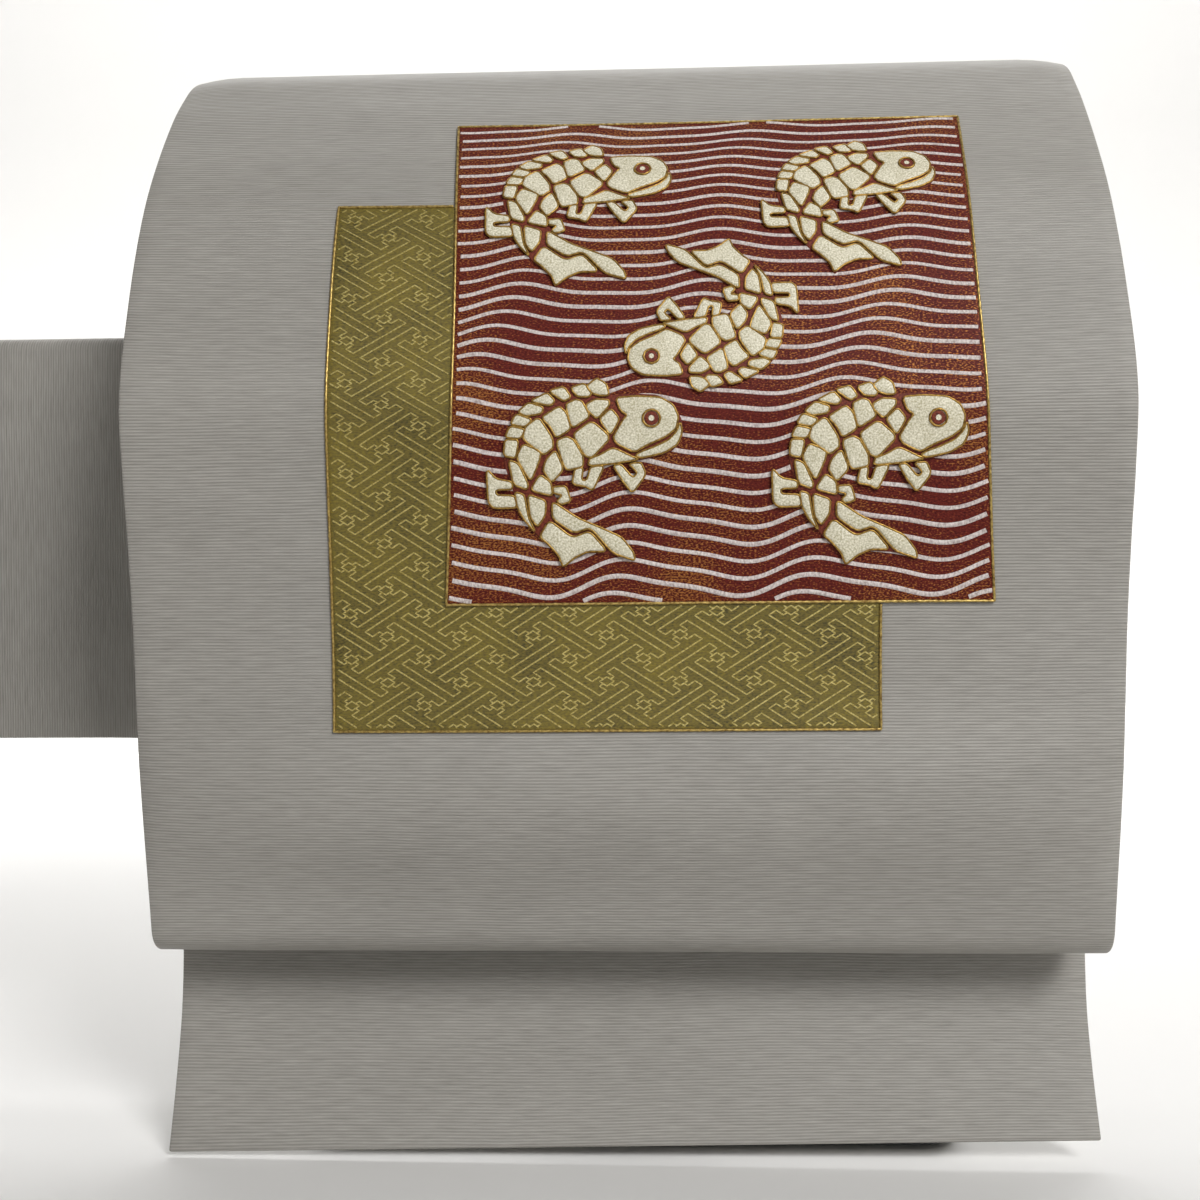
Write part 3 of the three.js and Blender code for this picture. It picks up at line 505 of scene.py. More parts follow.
tree.links.new(ramp.outputs[0], shader.inputs["Base Color"])
gilt_share = add_node(tree, "ShaderNodeMapRange", [(both, 0, 0)])
gilt_share.inputs["From Min"].default_value = 0.7
gilt_share.inputs["From Max"].default_value = 0.95
gilt_share.inputs["To Max"].default_value = 0.5
tree.links.new(gilt_share.outputs[0], shader.inputs["Metallic"])
shine = add_node(tree, "ShaderNodeMapRange", [(pick, 0, 0)])
shine.inputs["To Min"].default_value = 0.62
shine.inputs["To Max"].default_value = 0.4
tree.links.new(shine.outputs[0], shader.inputs["Roughness"])
bump = add_node(tree, "ShaderNodeBump", [(pick, 0, "Height")], strength=0.5, distance=0.15 * mm)
tree.links.new(bump.outputs[0], shader.inputs["Normal"])
olive_square.data.materials.append(olive_ground)
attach(olive_square, "head")
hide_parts("olive_patch")


def ribbon_mesh(name, runs, width, low, high):
    """Flat threads woven over a square. Each run is a line of (x, s) points, and takes its own width."""
    points = []
    faces = []
    flat = []
    for line, thickness in runs:
        line = np.array(line)
        along = np.gradient(line, axis=0)
        along /= np.linalg.norm(along, axis=1, keepdims=True) + 1e-12
        across = np.stack([-along[:, 1], along[:, 0]], -1)
        first = len(points)
        for offset, height in ((-0.5, low), (-0.4, high), (0.4, high), (0.5, low)):
            edge = line + across * (offset * thickness * width)
            points.extend(lay(edge[:, 0], edge[:, 1], height).tolist())
            flat.extend(edge.tolist())
        n = len(line)
        for k in range(3):
            for i in range(n - 1):
                a = first + k * n + i
                faces.append((a, a + n, a + n + 1, a + 1))
        for end in (0, n - 1):
            ring = [first + k * n + end for k in range(4)]
            faces.append(ring if end else ring[::-1])
        for i in range(n - 1):
            a = first + i
            faces.append((a, a + 1, a + 3 * n + 1, a + 3 * n))
    mesh = bpy.data.meshes.new(name)
    mesh.from_pydata(points, [], faces)
    uv = mesh.uv_layers.new(name="cloth")
    corner = np.empty(len(mesh.loops), np.int32)
    mesh.loops.foreach_get("vertex_index", corner)
    uv.data.foreach_set("uv", np.array(flat)[corner].astype(np.float32).ravel())
    piece = bpy.data.objects.new(name, mesh)
    bpy.context.collection.objects.link(piece)
    deselect()
    bpy.context.view_layer.objects.active = piece
    piece.select_set(True)
    bpy.ops.object.mode_set(mode="EDIT")
    bpy.ops.mesh.select_all(action="SELECT")
    bpy.ops.mesh.normals_make_consistent(inside=False)
    bpy.ops.object.mode_set(mode="OBJECT")
    bpy.ops.object.shade_smooth_by_angle(angle=math.radians(50))
    piece.select_set(False)
    return piece


# The fret: small lozenges on a slanting lattice, joined by long bars with hooked ends. Two bars
# run side by side between each pair of lozenges, and the next pair's run the other way.
fret_unit = 2.67 * mm
fret_slope = math.radians(32.4)
hooked_bar = [(0.5, 0), (1, 0), (1, -1), (2, -1), (2, 6), (1, 6), (1, 5), (0.5, 5)]
lozenge = [(0.5, 0.5), (0.5, -0.5), (-0.5, -0.5), (-0.5, 0.5), (0.5, 0.5)]
fret_start_x = olive_low.x + 16.8 * mm
fret_start_s = olive_end_s - 29.3 * mm
fret_shapes = []
for column in range(-16, 17):
    for row in range(-16, 17):
        shapes = [lozenge]
        if (column + row) % 2 == 0:
            bar = hooked_bar
            for _ in range(4):
                shapes.append(bar)
                bar = [(-q, p) for p, q in bar]
        for shape in shapes:
            fret_shapes.append([(p + 5 * column, q + 5 * row) for p, q in shape])
fret_lines = []
for shape in fret_shapes:
    corners = [((p + q) * math.cos(fret_slope) * fret_unit + fret_start_x,
                (q - p) * math.sin(fret_slope) * fret_unit + fret_start_s) for p, q in shape]
    run = []
    for (x0, s0), (x1, s1) in zip(corners, corners[1:]):
        for t in np.arange(0, 1, 1 / max(2, round(math.hypot(x1 - x0, s1 - s0) / (0.8 * mm)))):
            run.append((x0 + (x1 - x0) * t, s0 + (s1 - s0) * t))
    run.append(corners[-1])
    kept = []
    for x, s in run:
        left, right = red_sides(s)
        under_red = left - 0.7 * mm < x < right + 0.7 * mm and s < red_end_s + 0.7 * mm
        inside = olive_low.x + mm < x < olive_high.x - mm and olive_top_s + mm < s < olive_end_s - mm
        if inside and not under_red:
            kept.append((x, s))
        else:
            if len(kept) > 2:
                fret_lines.append((kept, 1.0))
            kept = []
    if len(kept) > 2:
        fret_lines.append((kept, 1.0))
fret = ribbon_mesh("olive_square_fret", fret_lines, 0.48 * mm, 0.36 * mm, 0.56 * mm)
# Flat gilt thread: gilt paper cut in strips, a pale gold with a fine uneven glint.
gilt_thread, tree, shader = new_material("flat_gilt_thread", metallic=0.75, roughness=0.38)
place = add_node(tree, "ShaderNodeUVMap", uv_map="cloth")
grain = add_node(tree, "ShaderNodeTexNoise", [(place, 0, "Vector")], scale=1500.0, detail=2.0)
ramp = add_node(tree, "ShaderNodeValToRGB", [(grain, 0, 0)])
ramp.color_ramp.elements[0].position = 0.32
ramp.color_ramp.elements[0].color = linear("#a08c42")
ramp.color_ramp.elements[1].position = 0.66
ramp.color_ramp.elements[1].color = linear("#e6d894")
tree.links.new(ramp.outputs[0], shader.inputs["Base Color"])
bump = add_node(tree, "ShaderNodeBump", [(grain, 0, "Height")], strength=0.5, distance=0.1 * mm)
tree.links.new(bump.outputs[0], shader.inputs["Normal"])
fret.data.materials.append(gilt_thread)
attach(fret, "head")

# ---------------------------------------------------------------------------------------------
# Red square: a brocade of red-brown silk with specks of gilt, laid over a corner of the olive
# one. White yarn runs across it in waves.

red_s = np.linspace(red_top_s, red_end_s, 70)
red_share = np.linspace(0, 1, 60)
red_left, red_right = red_sides(red_s)
red_x = red_left[:, None] + red_share[None, :] * (red_right - red_left)[:, None]
red_square = grid_piece("red_square", lay(red_x, red_s[:, None], 0.8 * mm),
                        np.stack(np.broadcast_arrays(red_x, red_s[:, None]), -1))
thicken(red_square, 0.35 * mm, 0.1 * mm)
# Red-brown brocade: dull dark silk, with gilt specks that gather in soft clouds.
red_ground, tree, shader = new_material("red_brown_brocade", specular_ior_level=0.15)
place = add_node(tree, "ShaderNodeUVMap", uv_map="cloth")
rows = add_node(tree, "ShaderNodeMapping", [(place, 0, 0)])
rows.inputs["Scale"].default_value = (1300, 2300, 1)
pick = add_node(tree, "ShaderNodeTexNoise", [(rows, 0, "Vector")], scale=1.0, detail=1.5)
clouds = add_node(tree, "ShaderNodeTexNoise", [(place, 0, "Vector")], scale=28.0, detail=2.0)
ramp = add_node(tree, "ShaderNodeValToRGB", [(pick, 0, 0)])
ramp.color_ramp.elements[0].position = 0.3
ramp.color_ramp.elements[0].color = linear("#360c0a")
ramp.color_ramp.elements[1].position = 0.6
ramp.color_ramp.elements[1].color = linear("#641f16")
faint = add_node(tree, "ShaderNodeMath", [(clouds, 0, 0)], operation="MULTIPLY")
faint.inputs[1].default_value = 0.5
speck = add_node(tree, "ShaderNodeMath", [(pick, 0, 0), (faint, 0, 1)], operation="ADD")
speck_share = add_node(tree, "ShaderNodeMapRange", [(speck, 0, 0)])
speck_share.inputs["From Min"].default_value = 0.8
speck_share.inputs["From Max"].default_value = 0.96
gold_mix = add_node(tree, "ShaderNodeMix", [(speck_share, 0, 0), (ramp, 0, 6)], data_type="RGBA")
gold_mix.inputs[7].default_value = linear("#a06a34")
tree.links.new(gold_mix.outputs[2], shader.inputs["Base Color"])
metal = add_node(tree, "ShaderNodeMath", [(speck_share, 0, 0)], operation="MULTIPLY")
metal.inputs[1].default_value = 0.6
tree.links.new(metal.outputs[0], shader.inputs["Metallic"])
dull = add_node(tree, "ShaderNodeMapRange", [(pick, 0, 0)])
dull.inputs["To Min"].default_value = 0.7
dull.inputs["To Max"].default_value = 0.45
tree.links.new(dull.outputs[0], shader.inputs["Roughness"])
bump = add_node(tree, "ShaderNodeBump", [(pick, 0, "Height")], strength=0.5, distance=0.15 * mm)
tree.links.new(bump.outputs[0], shader.inputs["Normal"])
red_square.data.materials.append(red_ground)
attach(red_square, "head")
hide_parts("red_patch")

wave_pitch = 4.35 * mm
wave_length = 58 * mm
waves = []
wave_x = np.linspace(red_low.x - 2 * mm, red_high.x + 4 * mm, 150)
for k in range(-2, 43):
    depth = np.clip(k / 37, 0, 1)
    turn = 2 * math.pi * (wave_x + 1.3 * mm * k + 4 * mm * math.sin(0.33 * k)) / wave_length
    across_share = (wave_x - red_low.x) / (red_high.x - red_low.x)
    lift = (1.5 + 1.5 * depth) * mm * (1 - 0.4 * across_share * (1 - depth))
    wave_s = (red_top_s + (k + 0.5) * wave_pitch + 0.012 * mm * k * k
              + lift * (np.sin(turn) + 0.3 * np.sin(2 * turn + 0.9 + 0.07 * k)))
    left, right = red_sides(wave_s)
    inside = ((wave_x > left + 0.6 * mm) & (wave_x < right - 0.6 * mm)
              & (wave_s > red_top_s + 0.8 * mm) & (wave_s < red_end_s - 0.8 * mm))
    kept = []
    for i in range(len(wave_x)):
        if inside[i]:
            kept.append((wave_x[i], wave_s[i]))
        if not inside[i] or i == len(wave_x) - 1:
            if len(kept) > 3:
                waves.append((kept, 0.95 + 0.2 * depth + 0.1 * math.sin(1.7 * k)))
            kept = []
wave_yarn = ribbon_mesh("red_square_waves", waves, 1.25 * mm, 0.76 * mm, 0.92 * mm)
# White wave yarn: soft silk yarn, a greyish white with a faint pink cast and a fine uneven grain.
white_yarn, tree, shader = new_material("white_wave_yarn", roughness=0.62, sheen_weight=0.2,
                                        specular_ior_level=0.3)
place = add_node(tree, "ShaderNodeUVMap", uv_map="cloth")
rows = add_node(tree, "ShaderNodeMapping", [(place, 0, 0)])
rows.inputs["Scale"].default_value = (1500, 900, 1)
pick = add_node(tree, "ShaderNodeTexNoise", [(rows, 0, "Vector")], scale=1.0, detail=2.0)
ramp = add_node(tree, "ShaderNodeValToRGB", [(pick, 0, 0)])
ramp.color_ramp.elements[0].position = 0.3
ramp.color_ramp.elements[0].color = linear("#9b8c88")
ramp.color_ramp.elements[1].position = 0.62
ramp.color_ramp.elements[1].color = linear("#d2c8c4")
tree.links.new(ramp.outputs[0], shader.inputs["Base Color"])
bump = add_node(tree, "ShaderNodeBump", [(pick, 0, "Height")], strength=0.5, distance=0.12 * mm)
tree.links.new(bump.outputs[0], shader.inputs["Normal"])
wave_yarn.data.materials.append(white_yarn)
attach(wave_yarn, "head")

# ---------------------------------------------------------------------------------------------
# Gilt border cords: two-ply gilt cord couched round both squares with fine stitches. The olive
# square's cord goes under the red one.

def twisted_cord(name, runs, radius, pitch, sides=8):
    """Two-ply cord along each run of (x, s, height) points. A closed run ends where it starts."""
    points = []
    faces = []
    flat = []
    for line, closed in runs:
        line = np.array(line, float)
        if closed:
            line = np.vstack([line, line[:1]])
        centre = lay(line[:, 0], line[:, 1], line[:, 2])
        length = np.concatenate([[0], np.cumsum(np.linalg.norm(np.diff(centre, axis=0), axis=1))])
        count = max(4, round(length[-1] / (pitch / 6)))
        turns = max(1, round(length[-1] / pitch))
        place = np.linspace(0, length[-1], count + 1)
        if closed:
            place = place[:-1]
        line = np.stack([np.interp(place, length, line[:, k]) for k in range(3)], -1)
        centre = lay(line[:, 0], line[:, 1], line[:, 2])
        up = lay(line[:, 0], line[:, 1], line[:, 2] + mm) - centre
        up /= np.linalg.norm(up, axis=1, keepdims=True)
        if closed:
            along = np.roll(centre, -1, axis=0) - np.roll(centre, 1, axis=0)
        else:
            along = np.gradient(centre, axis=0)
        along /= np.linalg.norm(along, axis=1, keepdims=True) + 1e-12
        side = np.cross(along, up)
        first = len(points)
        n = len(centre)
        for i in range(n):
            twist = 2 * math.pi * turns * place[i] / length[-1]
            for k in range(sides):
                angle = 2 * math.pi * k / sides
                reach_out = radius * (0.74 + 0.26 * abs(math.cos(angle - twist / 2)))
                outward = math.cos(angle) * side[i] + math.sin(angle) * up[i]
                points.append(centre[i] + reach_out * outward)
                flat.append((place[i], k / sides * 2 * math.pi * radius))
        rings = n if closed else n - 1
        for i in range(rings):
            for k in range(sides):
                a = first + i * sides + k
                b = first + i * sides + (k + 1) % sides
                c = first + (i + 1) % n * sides + (k + 1) % sides
                d = first + (i + 1) % n * sides + k
                faces.append((a, d, c, b))
        if not closed:
            faces.append([first + k for k in range(sides)])
            faces.append([first + (n - 1) * sides + k for k in range(sides)][::-1])
    mesh = bpy.data.meshes.new(name)
    mesh.from_pydata([tuple(p) for p in points], [], faces)
    uv = mesh.uv_layers.new(name="cloth")
    corner = np.empty(len(mesh.loops), np.int32)
    mesh.loops.foreach_get("vertex_index", corner)
    uv.data.foreach_set("uv", np.array(flat)[corner].astype(np.float32).ravel())
    mesh.shade_smooth()
    piece = bpy.data.objects.new(name, mesh)
    bpy.context.collection.objects.link(piece)
    return piece


cord_radius = 0.48 * mm
cord_height = 0.75 * mm
red_edge = []
for t in np.linspace(0, 1, 60, endpoint=False):
    red_edge.append((red_sides(red_top_s)[0] * (1 - t) + red_sides(red_top_s)[1] * t, red_top_s))
for s in np.linspace(red_top_s, red_end_s, 90, endpoint=False):
    red_edge.append((red_sides(s)[1], s))
for t in np.linspace(0, 1, 60, endpoint=False):
    red_edge.append((red_sides(red_end_s)[1] * (1 - t) + red_sides(red_end_s)[0] * t, red_end_s))
for s in np.linspace(red_end_s, red_top_s, 90, endpoint=False):
    red_edge.append((red_sides(s)[0], s))
red_border = [(x, s, cord_height) for x, s in red_edge]

olive_border = []
for x in np.linspace(red_sides(olive_top_s)[0] - 0.9 * mm, olive_low.x, 20, endpoint=False):
    olive_border.append((x, olive_top_s, cord_height - 0.2 * mm))
for s in np.linspace(olive_top_s, olive_end_s, 90, endpoint=False):
    olive_border.append((olive_low.x, s, cord_height - 0.2 * mm))
for x in np.linspace(olive_low.x, olive_high.x, 80, endpoint=False):
    olive_border.append((x, olive_end_s, cord_height - 0.2 * mm))
for s in np.linspace(olive_end_s, red_end_s + 0.9 * mm, 40):
    olive_border.append((olive_high.x, s, cord_height - 0.2 * mm))

# Two-ply gilt cord: gilt foil wound on a core, with a broken metallic glint.
gilt_cord, tree, shader = new_material("two_ply_gilt_cord", metallic=0.8, roughness=0.4)
place = add_node(tree, "ShaderNodeUVMap", uv_map="cloth")
grain = add_node(tree, "ShaderNodeTexNoise", [(place, 0, "Vector")], scale=900.0, detail=2.0)
ramp = add_node(tree, "ShaderNodeValToRGB", [(grain, 0, 0)])
ramp.color_ramp.elements[0].position = 0.3
ramp.color_ramp.elements[0].color = linear("#7a6030")
ramp.color_ramp.elements[1].position = 0.68
ramp.color_ramp.elements[1].color = linear("#cdb26a")
tree.links.new(ramp.outputs[0], shader.inputs["Base Color"])
bump = add_node(tree, "ShaderNodeBump", [(grain, 0, "Height")], strength=0.4, distance=0.1 * mm)
tree.links.new(bump.outputs[0], shader.inputs["Normal"])

for name, line, closed, node in (("red_square_cord", red_border, True, "red_cord"),
                                 ("olive_square_cord", olive_border, False, "olive_cord")):
    border = twisted_cord(name, [(line, closed)], cord_radius, 2.4 * mm)
    border.data.materials.append(gilt_cord)
    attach(border, "head")
    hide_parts(node)

# ---------------------------------------------------------------------------------------------
# Carp: five leaping carp, cut in cream satin over thin wadding and laid on a red-brown ground
# cloth that shows between the scales. Every edge is couched with fine gilt cord. All five come
# from one pattern; the middle one is turned upside down.

# The pattern, in millimetres on the cloth: x to the head's side, and y up the drum.
carp_ground = [(7, 23.5), (15, 24), (22, 23.5), (27, 20.5), (29.5, 15), (29.5, 9.5), (26, 5.5),
               (18, 3.5), (8, 2), (0, 1), (-5.5, 0.5), (-10, -3), (-9, -8), (-2.5, -13.5),
               (5, -17), (11, -20), (15.5, -27.5), (8, -25), (0.5, -24.5), (-3.5, -26),
               (-7, -29.5), (-8.5, -25), (-14, -20), (-19.5, -13), (-22, -5), (-24.5, 3),
               (-24, 10.5), (-20.5, 18.5), (-15, 23), (-7, 26), (0, 27), (3.9, 28.5), (6.5, 26.8)]
carp_pieces = {
    "head": [(9.5, 22.5), (15.5, 23), (23, 22.5), (26.8, 20), (28.3, 16.5), (27.6, 12.8),
             (24.3, 10.2), (19, 8), (15, 5.7), (9.8, 8.2), (8.6, 10.3), (10, 12.8), (11.8, 15.8),
             (13, 17), (10.8, 18.6)],
    "jaw": [(28.8, 15), (29.4, 11.6), (28, 8), (24, 5.5), (17, 4), (15, 4.7), (17.2, 6), (21, 7.3),
            (25.4, 9.4), (27.8, 12)],
    "belly": [(1.5, 4), (4.5, 5), (8.6, 7.3), (14.5, 4.4), (16.5, 3.6), (8.7, 2.4), (1, 1.8)],
    "scale_1": [(1.2, 20.4), (3.6, 21.8), (6.9, 21.5), (6.8, 20), (3.9, 16.7), (1.5, 19)],
    "scale_2": [(8, 18.6), (10.2, 15.8), (7.8, 11.6), (5, 15.8)],
    "scale_3": [(-5.2, 20.4), (-2.6, 21.8), (-0.8, 21.3), (1.3, 17), (-3.6, 13.8)],
    "scale_4": [(-12.2, 16.4), (-7.6, 19.4), (-5.8, 17.6), (-4.6, 13.4), (-8.4, 11.1), (-9.9, 14)],
    "scale_5": [(2.1, 14.8), (7.2, 10.2), (2.2, 4.9), (0.3, 5.2), (-2.4, 9.8), (-2.6, 11.4)],
    "scale_6": [(-13.7, 16), (-10.2, 10.5), (-9.9, 7.9), (-12.5, 5.8), (-18, 10.2), (-17.2, 13.4)],
    "scale_7": [(-8, 8.9), (-5.2, 10.1), (-3.4, 9.3), (-1, 5.1), (-0.9, 2.2), (-5.6, 1.3)],
    "scale_8": [(-18.3, 8.1), (-13.5, 6), (-14, 3.6), (-16.4, -2), (-20.2, 4.4)],
    "scale_9": [(-9, 6), (-6.9, 1), (-10.1, -2.4), (-12.2, 0.9), (-11.4, 3.4)],
    "scale_10": [(-22.6, 3.2), (-20, 2.2), (-17.4, -3.4), (-18, -4.6), (-21.4, -3.3)],
    "scale_11": [(-13.4, -1.2), (-10.7, -3.2), (-10.3, -6.6), (-15.8, -5.1)],
    "scale_12": [(-17, -7.2), (-12.2, -9), (-12.5, -12.8), (-14.6, -15.8), (-16.4, -13.2)],
    "scale_13": [(-21, -6.4), (-18.4, -7.2), (-17.4, -13.4), (-15.4, -17.6), (-18.4, -14.2),
                 (-20.4, -10.6)],
    "back_1": [(1.3, 26.2), (3.9, 28.3), (6.2, 26.8), (6.9, 23.9), (4.5, 23.8), (2.6, 24.6)],
    "back_2": [(-3.4, 25.7), (0, 26.9), (1.7, 24.2), (1, 23.3), (-1.7, 23.5)],
    "back_3": [(-10, 24.9), (-6.2, 26), (-4.4, 23.2), (-6.2, 22.1)],
    "back_4": [(-15.6, 21.9), (-11.2, 24.2), (-9.2, 21.9), (-10.4, 20.6)],
    "back_5": [(-19.2, 18.6), (-16.6, 21), (-12.9, 19.7), (-13.4, 18.1), (-17.3, 17.5)],
    "back_6": [(-21.6, 14.9), (-20.2, 17.4), (-16.4, 15.9), (-18.2, 14.2)],
    "back_7": [(-23.2, 11), (-22, 13.6), (-18.5, 12.8), (-19.7, 10.6)],
    "back_8": [(-24, 5.6), (-23.6, 9.4), (-20.4, 9.2), (-21.2, 5)],
    "tail_upper": [(-10, -8.6), (-2.4, -13.8), (5, -17), (11, -19.8), (14.5, -24.4), (15, -27),
                   (8.2, -24.6), (1.5, -16.8), (-3.6, -18.4), (-10, -14)],
    "tail_lower": [(-11, -14.4), (-4, -19.8), (1.2, -17.8), (6.6, -24.1), (0.6, -24),
                   (-3.4, -25.8), (-7, -28.8), (-8.2, -25.2), (-11.4, -21.6), (-14, -19.4)]}
carp_fins = {
    "fin_1": [(-3, 1), (-0.4, 1.4), (-1, -2.4), (0.6, -2.5), (1.7, 1.5), (6, 2), (2.4, -5.7),
              (0, -4.3), (-3.9, -3.6)],
    "fin_2": [(8.5, 2), (11, 2.2), (14.5, -1.9), (15.9, -0.4), (13.2, 2.4), (17, 2.7),
              (18.5, -0.9), (14.3, -6.6), (11.3, -2.7)],
    "fin_3": [(-29.8, 1.4), (-26.9, -1.8), (-22, -2.7), (-21.9, -5), (-27, -5.1), (-27, -6.7),
              (-21.3, -6.9), (-20.6, -10.6), (-27.8, -10.7), (-29.4, -9)],
    "fin_4": [(-9.7, -4.4), (-5.7, -4.1), (-4.2, -8.8), (-7.4, -9.8), (-8.6, -8.6), (-6.8, -6.9),
              (-9.6, -6.3)]}


def rounded(outline, share=0.13, rounds=2):
    """Cuts the outline's corners again and again, as scissors and turned edges round them."""
    for _ in range(rounds):
        cut = []
        for a, b in zip(outline, outline[1:] + outline[:1]):
            cut.append((a[0] + (b[0] - a[0]) * share, a[1] + (b[1] - a[1]) * share))
            cut.append((a[0] + (b[0] - a[0]) * (1 - share), a[1] + (b[1] - a[1]) * (1 - share)))
        outline = cut
    return outline


def edge_distance(points, outline):
    a = np.array(outline)
    b = np.roll(a, -1, axis=0)
    d = b - a
    p = np.asarray(points)[:, None, :]
    t = np.clip(((p - a) * d).sum(-1) / ((d * d).sum(-1) + 1e-12), 0, 1)
    return np.linalg.norm(p - (a + t[..., None] * d), axis=-1).min(1)


def within(points, outline):
    a = np.array(outline)
    b = np.roll(a, -1, axis=0)
    x, y = np.asarray(points)[:, 0, None], np.asarray(points)[:, 1, None]
    rise_here = np.where(b[:, 1] == a[:, 1], 1e-12, b[:, 1] - a[:, 1])
    edge_x = (b[:, 0] - a[:, 0]) * (y - a[:, 1]) / rise_here + a[:, 0]
    crosses = ((a[:, 1] > y) != (b[:, 1] > y)) & (x < edge_x)
    return crosses.sum(1) % 2 == 1


def resampled(outline, step):
    closed = np.array(outline + outline[:1])
    length = np.concatenate([[0], np.cumsum(np.linalg.norm(np.diff(closed, axis=0), axis=1))])
    count = max(8, round(length[-1] / step))
    place = np.linspace(0, length[-1], count, endpoint=False)
    return np.stack([np.interp(place, length, closed[:, k]) for k in (0, 1)], -1)


def wadded(outline, low, high, shoulder):
    """A flat cloth shape with a soft rounded shoulder: points with a height each, and triangles."""
    rim = resampled(outline, 0.7)
    low_xy, high_xy = rim.min(0), rim.max(0)
    inner = []
    after = np.roll(rim, -1, axis=0) - np.roll(rim, 1, axis=0)
    normal = np.stack([-after[:, 1], after[:, 0]], -1)
    normal = normal / (np.linalg.norm(after, axis=1, keepdims=True) + 1e-9)
    area = 0.5 * np.sum(rim[:, 0] * np.roll(rim[:, 1], -1) - np.roll(rim[:, 0], -1) * rim[:, 1])
    normal = normal * (1 if area > 0 else -1)
    for depth in (0.25 * shoulder, 0.6 * shoulder, shoulder):
        ring = rim + normal * depth
        ring = ring[within(ring, outline)]
        if len(ring):
            inner.append(ring[edge_distance(ring, outline) > 0.93 * depth])
    grid_x = np.arange(low_xy[0], high_xy[0], 1.6)
    grid_y = np.arange(low_xy[1], high_xy[1], 1.6)
    grid = np.stack(np.meshgrid(grid_x, grid_y), -1).reshape(-1, 2)
    if len(grid):
        grid = grid[within(grid, outline)]
    if len(grid):
        inner.append(grid[edge_distance(grid, outline) > shoulder * 1.4])
    every = np.vstack([rim, *[ring for ring in inner if len(ring)]])
    count = len(rim)
    found = delaunay_2d_cdt([Vector(p) for p in every], [], [list(range(count))], 1, 1e-5)
    flat_points = np.array([tuple(p) for p in found[0]])
    depth = edge_distance(flat_points, outline)
    share = np.clip(depth / shoulder, 0, 1)
    height = low + (high - low) * np.sqrt(1 - (1 - share) ** 2) + 0.05 * np.clip(depth - shoulder, 0, 4)
    return flat_points, height, found[2]


def carp_piece(name, shapes, low, high, shoulder, to_cloth):
    """One mesh of closed pieces of cloth: the wadded tops, with walls down to their undersides."""
    bm = bmesh.new()
    uv_of = {}
    for outline in shapes:
        flat_points, height, triangles = wadded(outline, low, high, shoulder)
        cloth_points = np.array([to_cloth(x, y) for x, y in flat_points])
        tops = lay(cloth_points[:, 0], cloth_points[:, 1], height * mm)
        bottoms = lay(cloth_points[:, 0], cloth_points[:, 1], (low - 0.25) * mm)
        top_verts = [bm.verts.new(p) for p in tops]
        bottom_verts = [bm.verts.new(p) for p in bottoms]
        for v, w, p in zip(top_verts, bottom_verts, flat_points):
            uv_of[v] = p * mm
            uv_of[w] = p * mm
        used = {}
        for triangle in triangles:
            bm.faces.new([top_verts[i] for i in triangle])
            bm.faces.new([bottom_verts[i] for i in reversed(triangle)])
            for i, j in zip(triangle, triangle[1:] + triangle[:1]):
                used[(i, j)] = True
        for i, j in list(used):
            if (j, i) not in used:
                bm.faces.new([top_verts[j], top_verts[i], bottom_verts[i], bottom_verts[j]])
    loose = [v for v in bm.verts if not v.link_faces]
    kept_uv = bm.loops.layers.uv.new("cloth")
    for face in bm.faces:
        for loop in face.loops:
            loop[kept_uv].uv = uv_of[loop.vert]
    bmesh.ops.delete(bm, geom=loose, context="VERTS")
    bmesh.ops.recalc_face_normals(bm, faces=bm.faces)
    mesh = bpy.data.meshes.new(name)
    bm.to_mesh(mesh)
    bm.free()
    piece = bpy.data.objects.new(name, mesh)
    bpy.context.collection.objects.link(piece)
    finish_shape(piece, 60)
    return piece


# Fine antique gilt cord: browner than the border cord, so that it stands out on cream.
fine_gilt, tree, shader = new_material("fine_antique_gilt_cord", metallic=0.75, roughness=0.42)
place = add_node(tree, "ShaderNodeUVMap", uv_map="cloth")
grain = add_node(tree, "ShaderNodeTexNoise", [(place, 0, "Vector")], scale=900.0, detail=2.0)
ramp = add_node(tree, "ShaderNodeValToRGB", [(grain, 0, 0)])
ramp.color_ramp.elements[0].position = 0.3
ramp.color_ramp.elements[0].color = linear("#6e5220")
ramp.color_ramp.elements[1].position = 0.68
ramp.color_ramp.elements[1].color = linear("#b9944a")
tree.links.new(ramp.outputs[0], shader.inputs["Base Color"])
bump = add_node(tree, "ShaderNodeBump", [(grain, 0, "Height")], strength=0.4, distance=0.1 * mm)
tree.links.new(bump.outputs[0], shader.inputs["Normal"])

# Cream satin: pale silk with a fine raised grain, faint stains and a slight soft gloss.
cream_satin, tree, shader = new_material("cream_satin", roughness=0.5, specular_ior_level=0.4,
                                         sheen_weight=0.1, sheen_roughness=0.4)
place = add_node(tree, "ShaderNodeUVMap", uv_map="cloth")
weave = add_node(tree, "ShaderNodeMapping", [(place, 0, 0)])
weave.inputs["Scale"].default_value = (1700, 1700, 1)
nubs = add_node(tree, "ShaderNodeTexNoise", [(weave, 0, "Vector")], scale=1.0, detail=2.0)
stain = add_node(tree, "ShaderNodeTexNoise", [(place, 0, "Vector")], scale=160.0, detail=2.0)
faint = add_node(tree, "ShaderNodeMath", [(stain, 0, 0)], operation="MULTIPLY")
faint.inputs[1].default_value = 0.25
both = add_node(tree, "ShaderNodeMath", [(nubs, 0, 0), (faint, 0, 1)], operation="ADD")
ramp = add_node(tree, "ShaderNodeValToRGB", [(both, 0, 0)])
ramp.color_ramp.elements[0].position = 0.45
ramp.color_ramp.elements[0].color = linear("#aaa283")
ramp.color_ramp.elements[1].position = 0.8
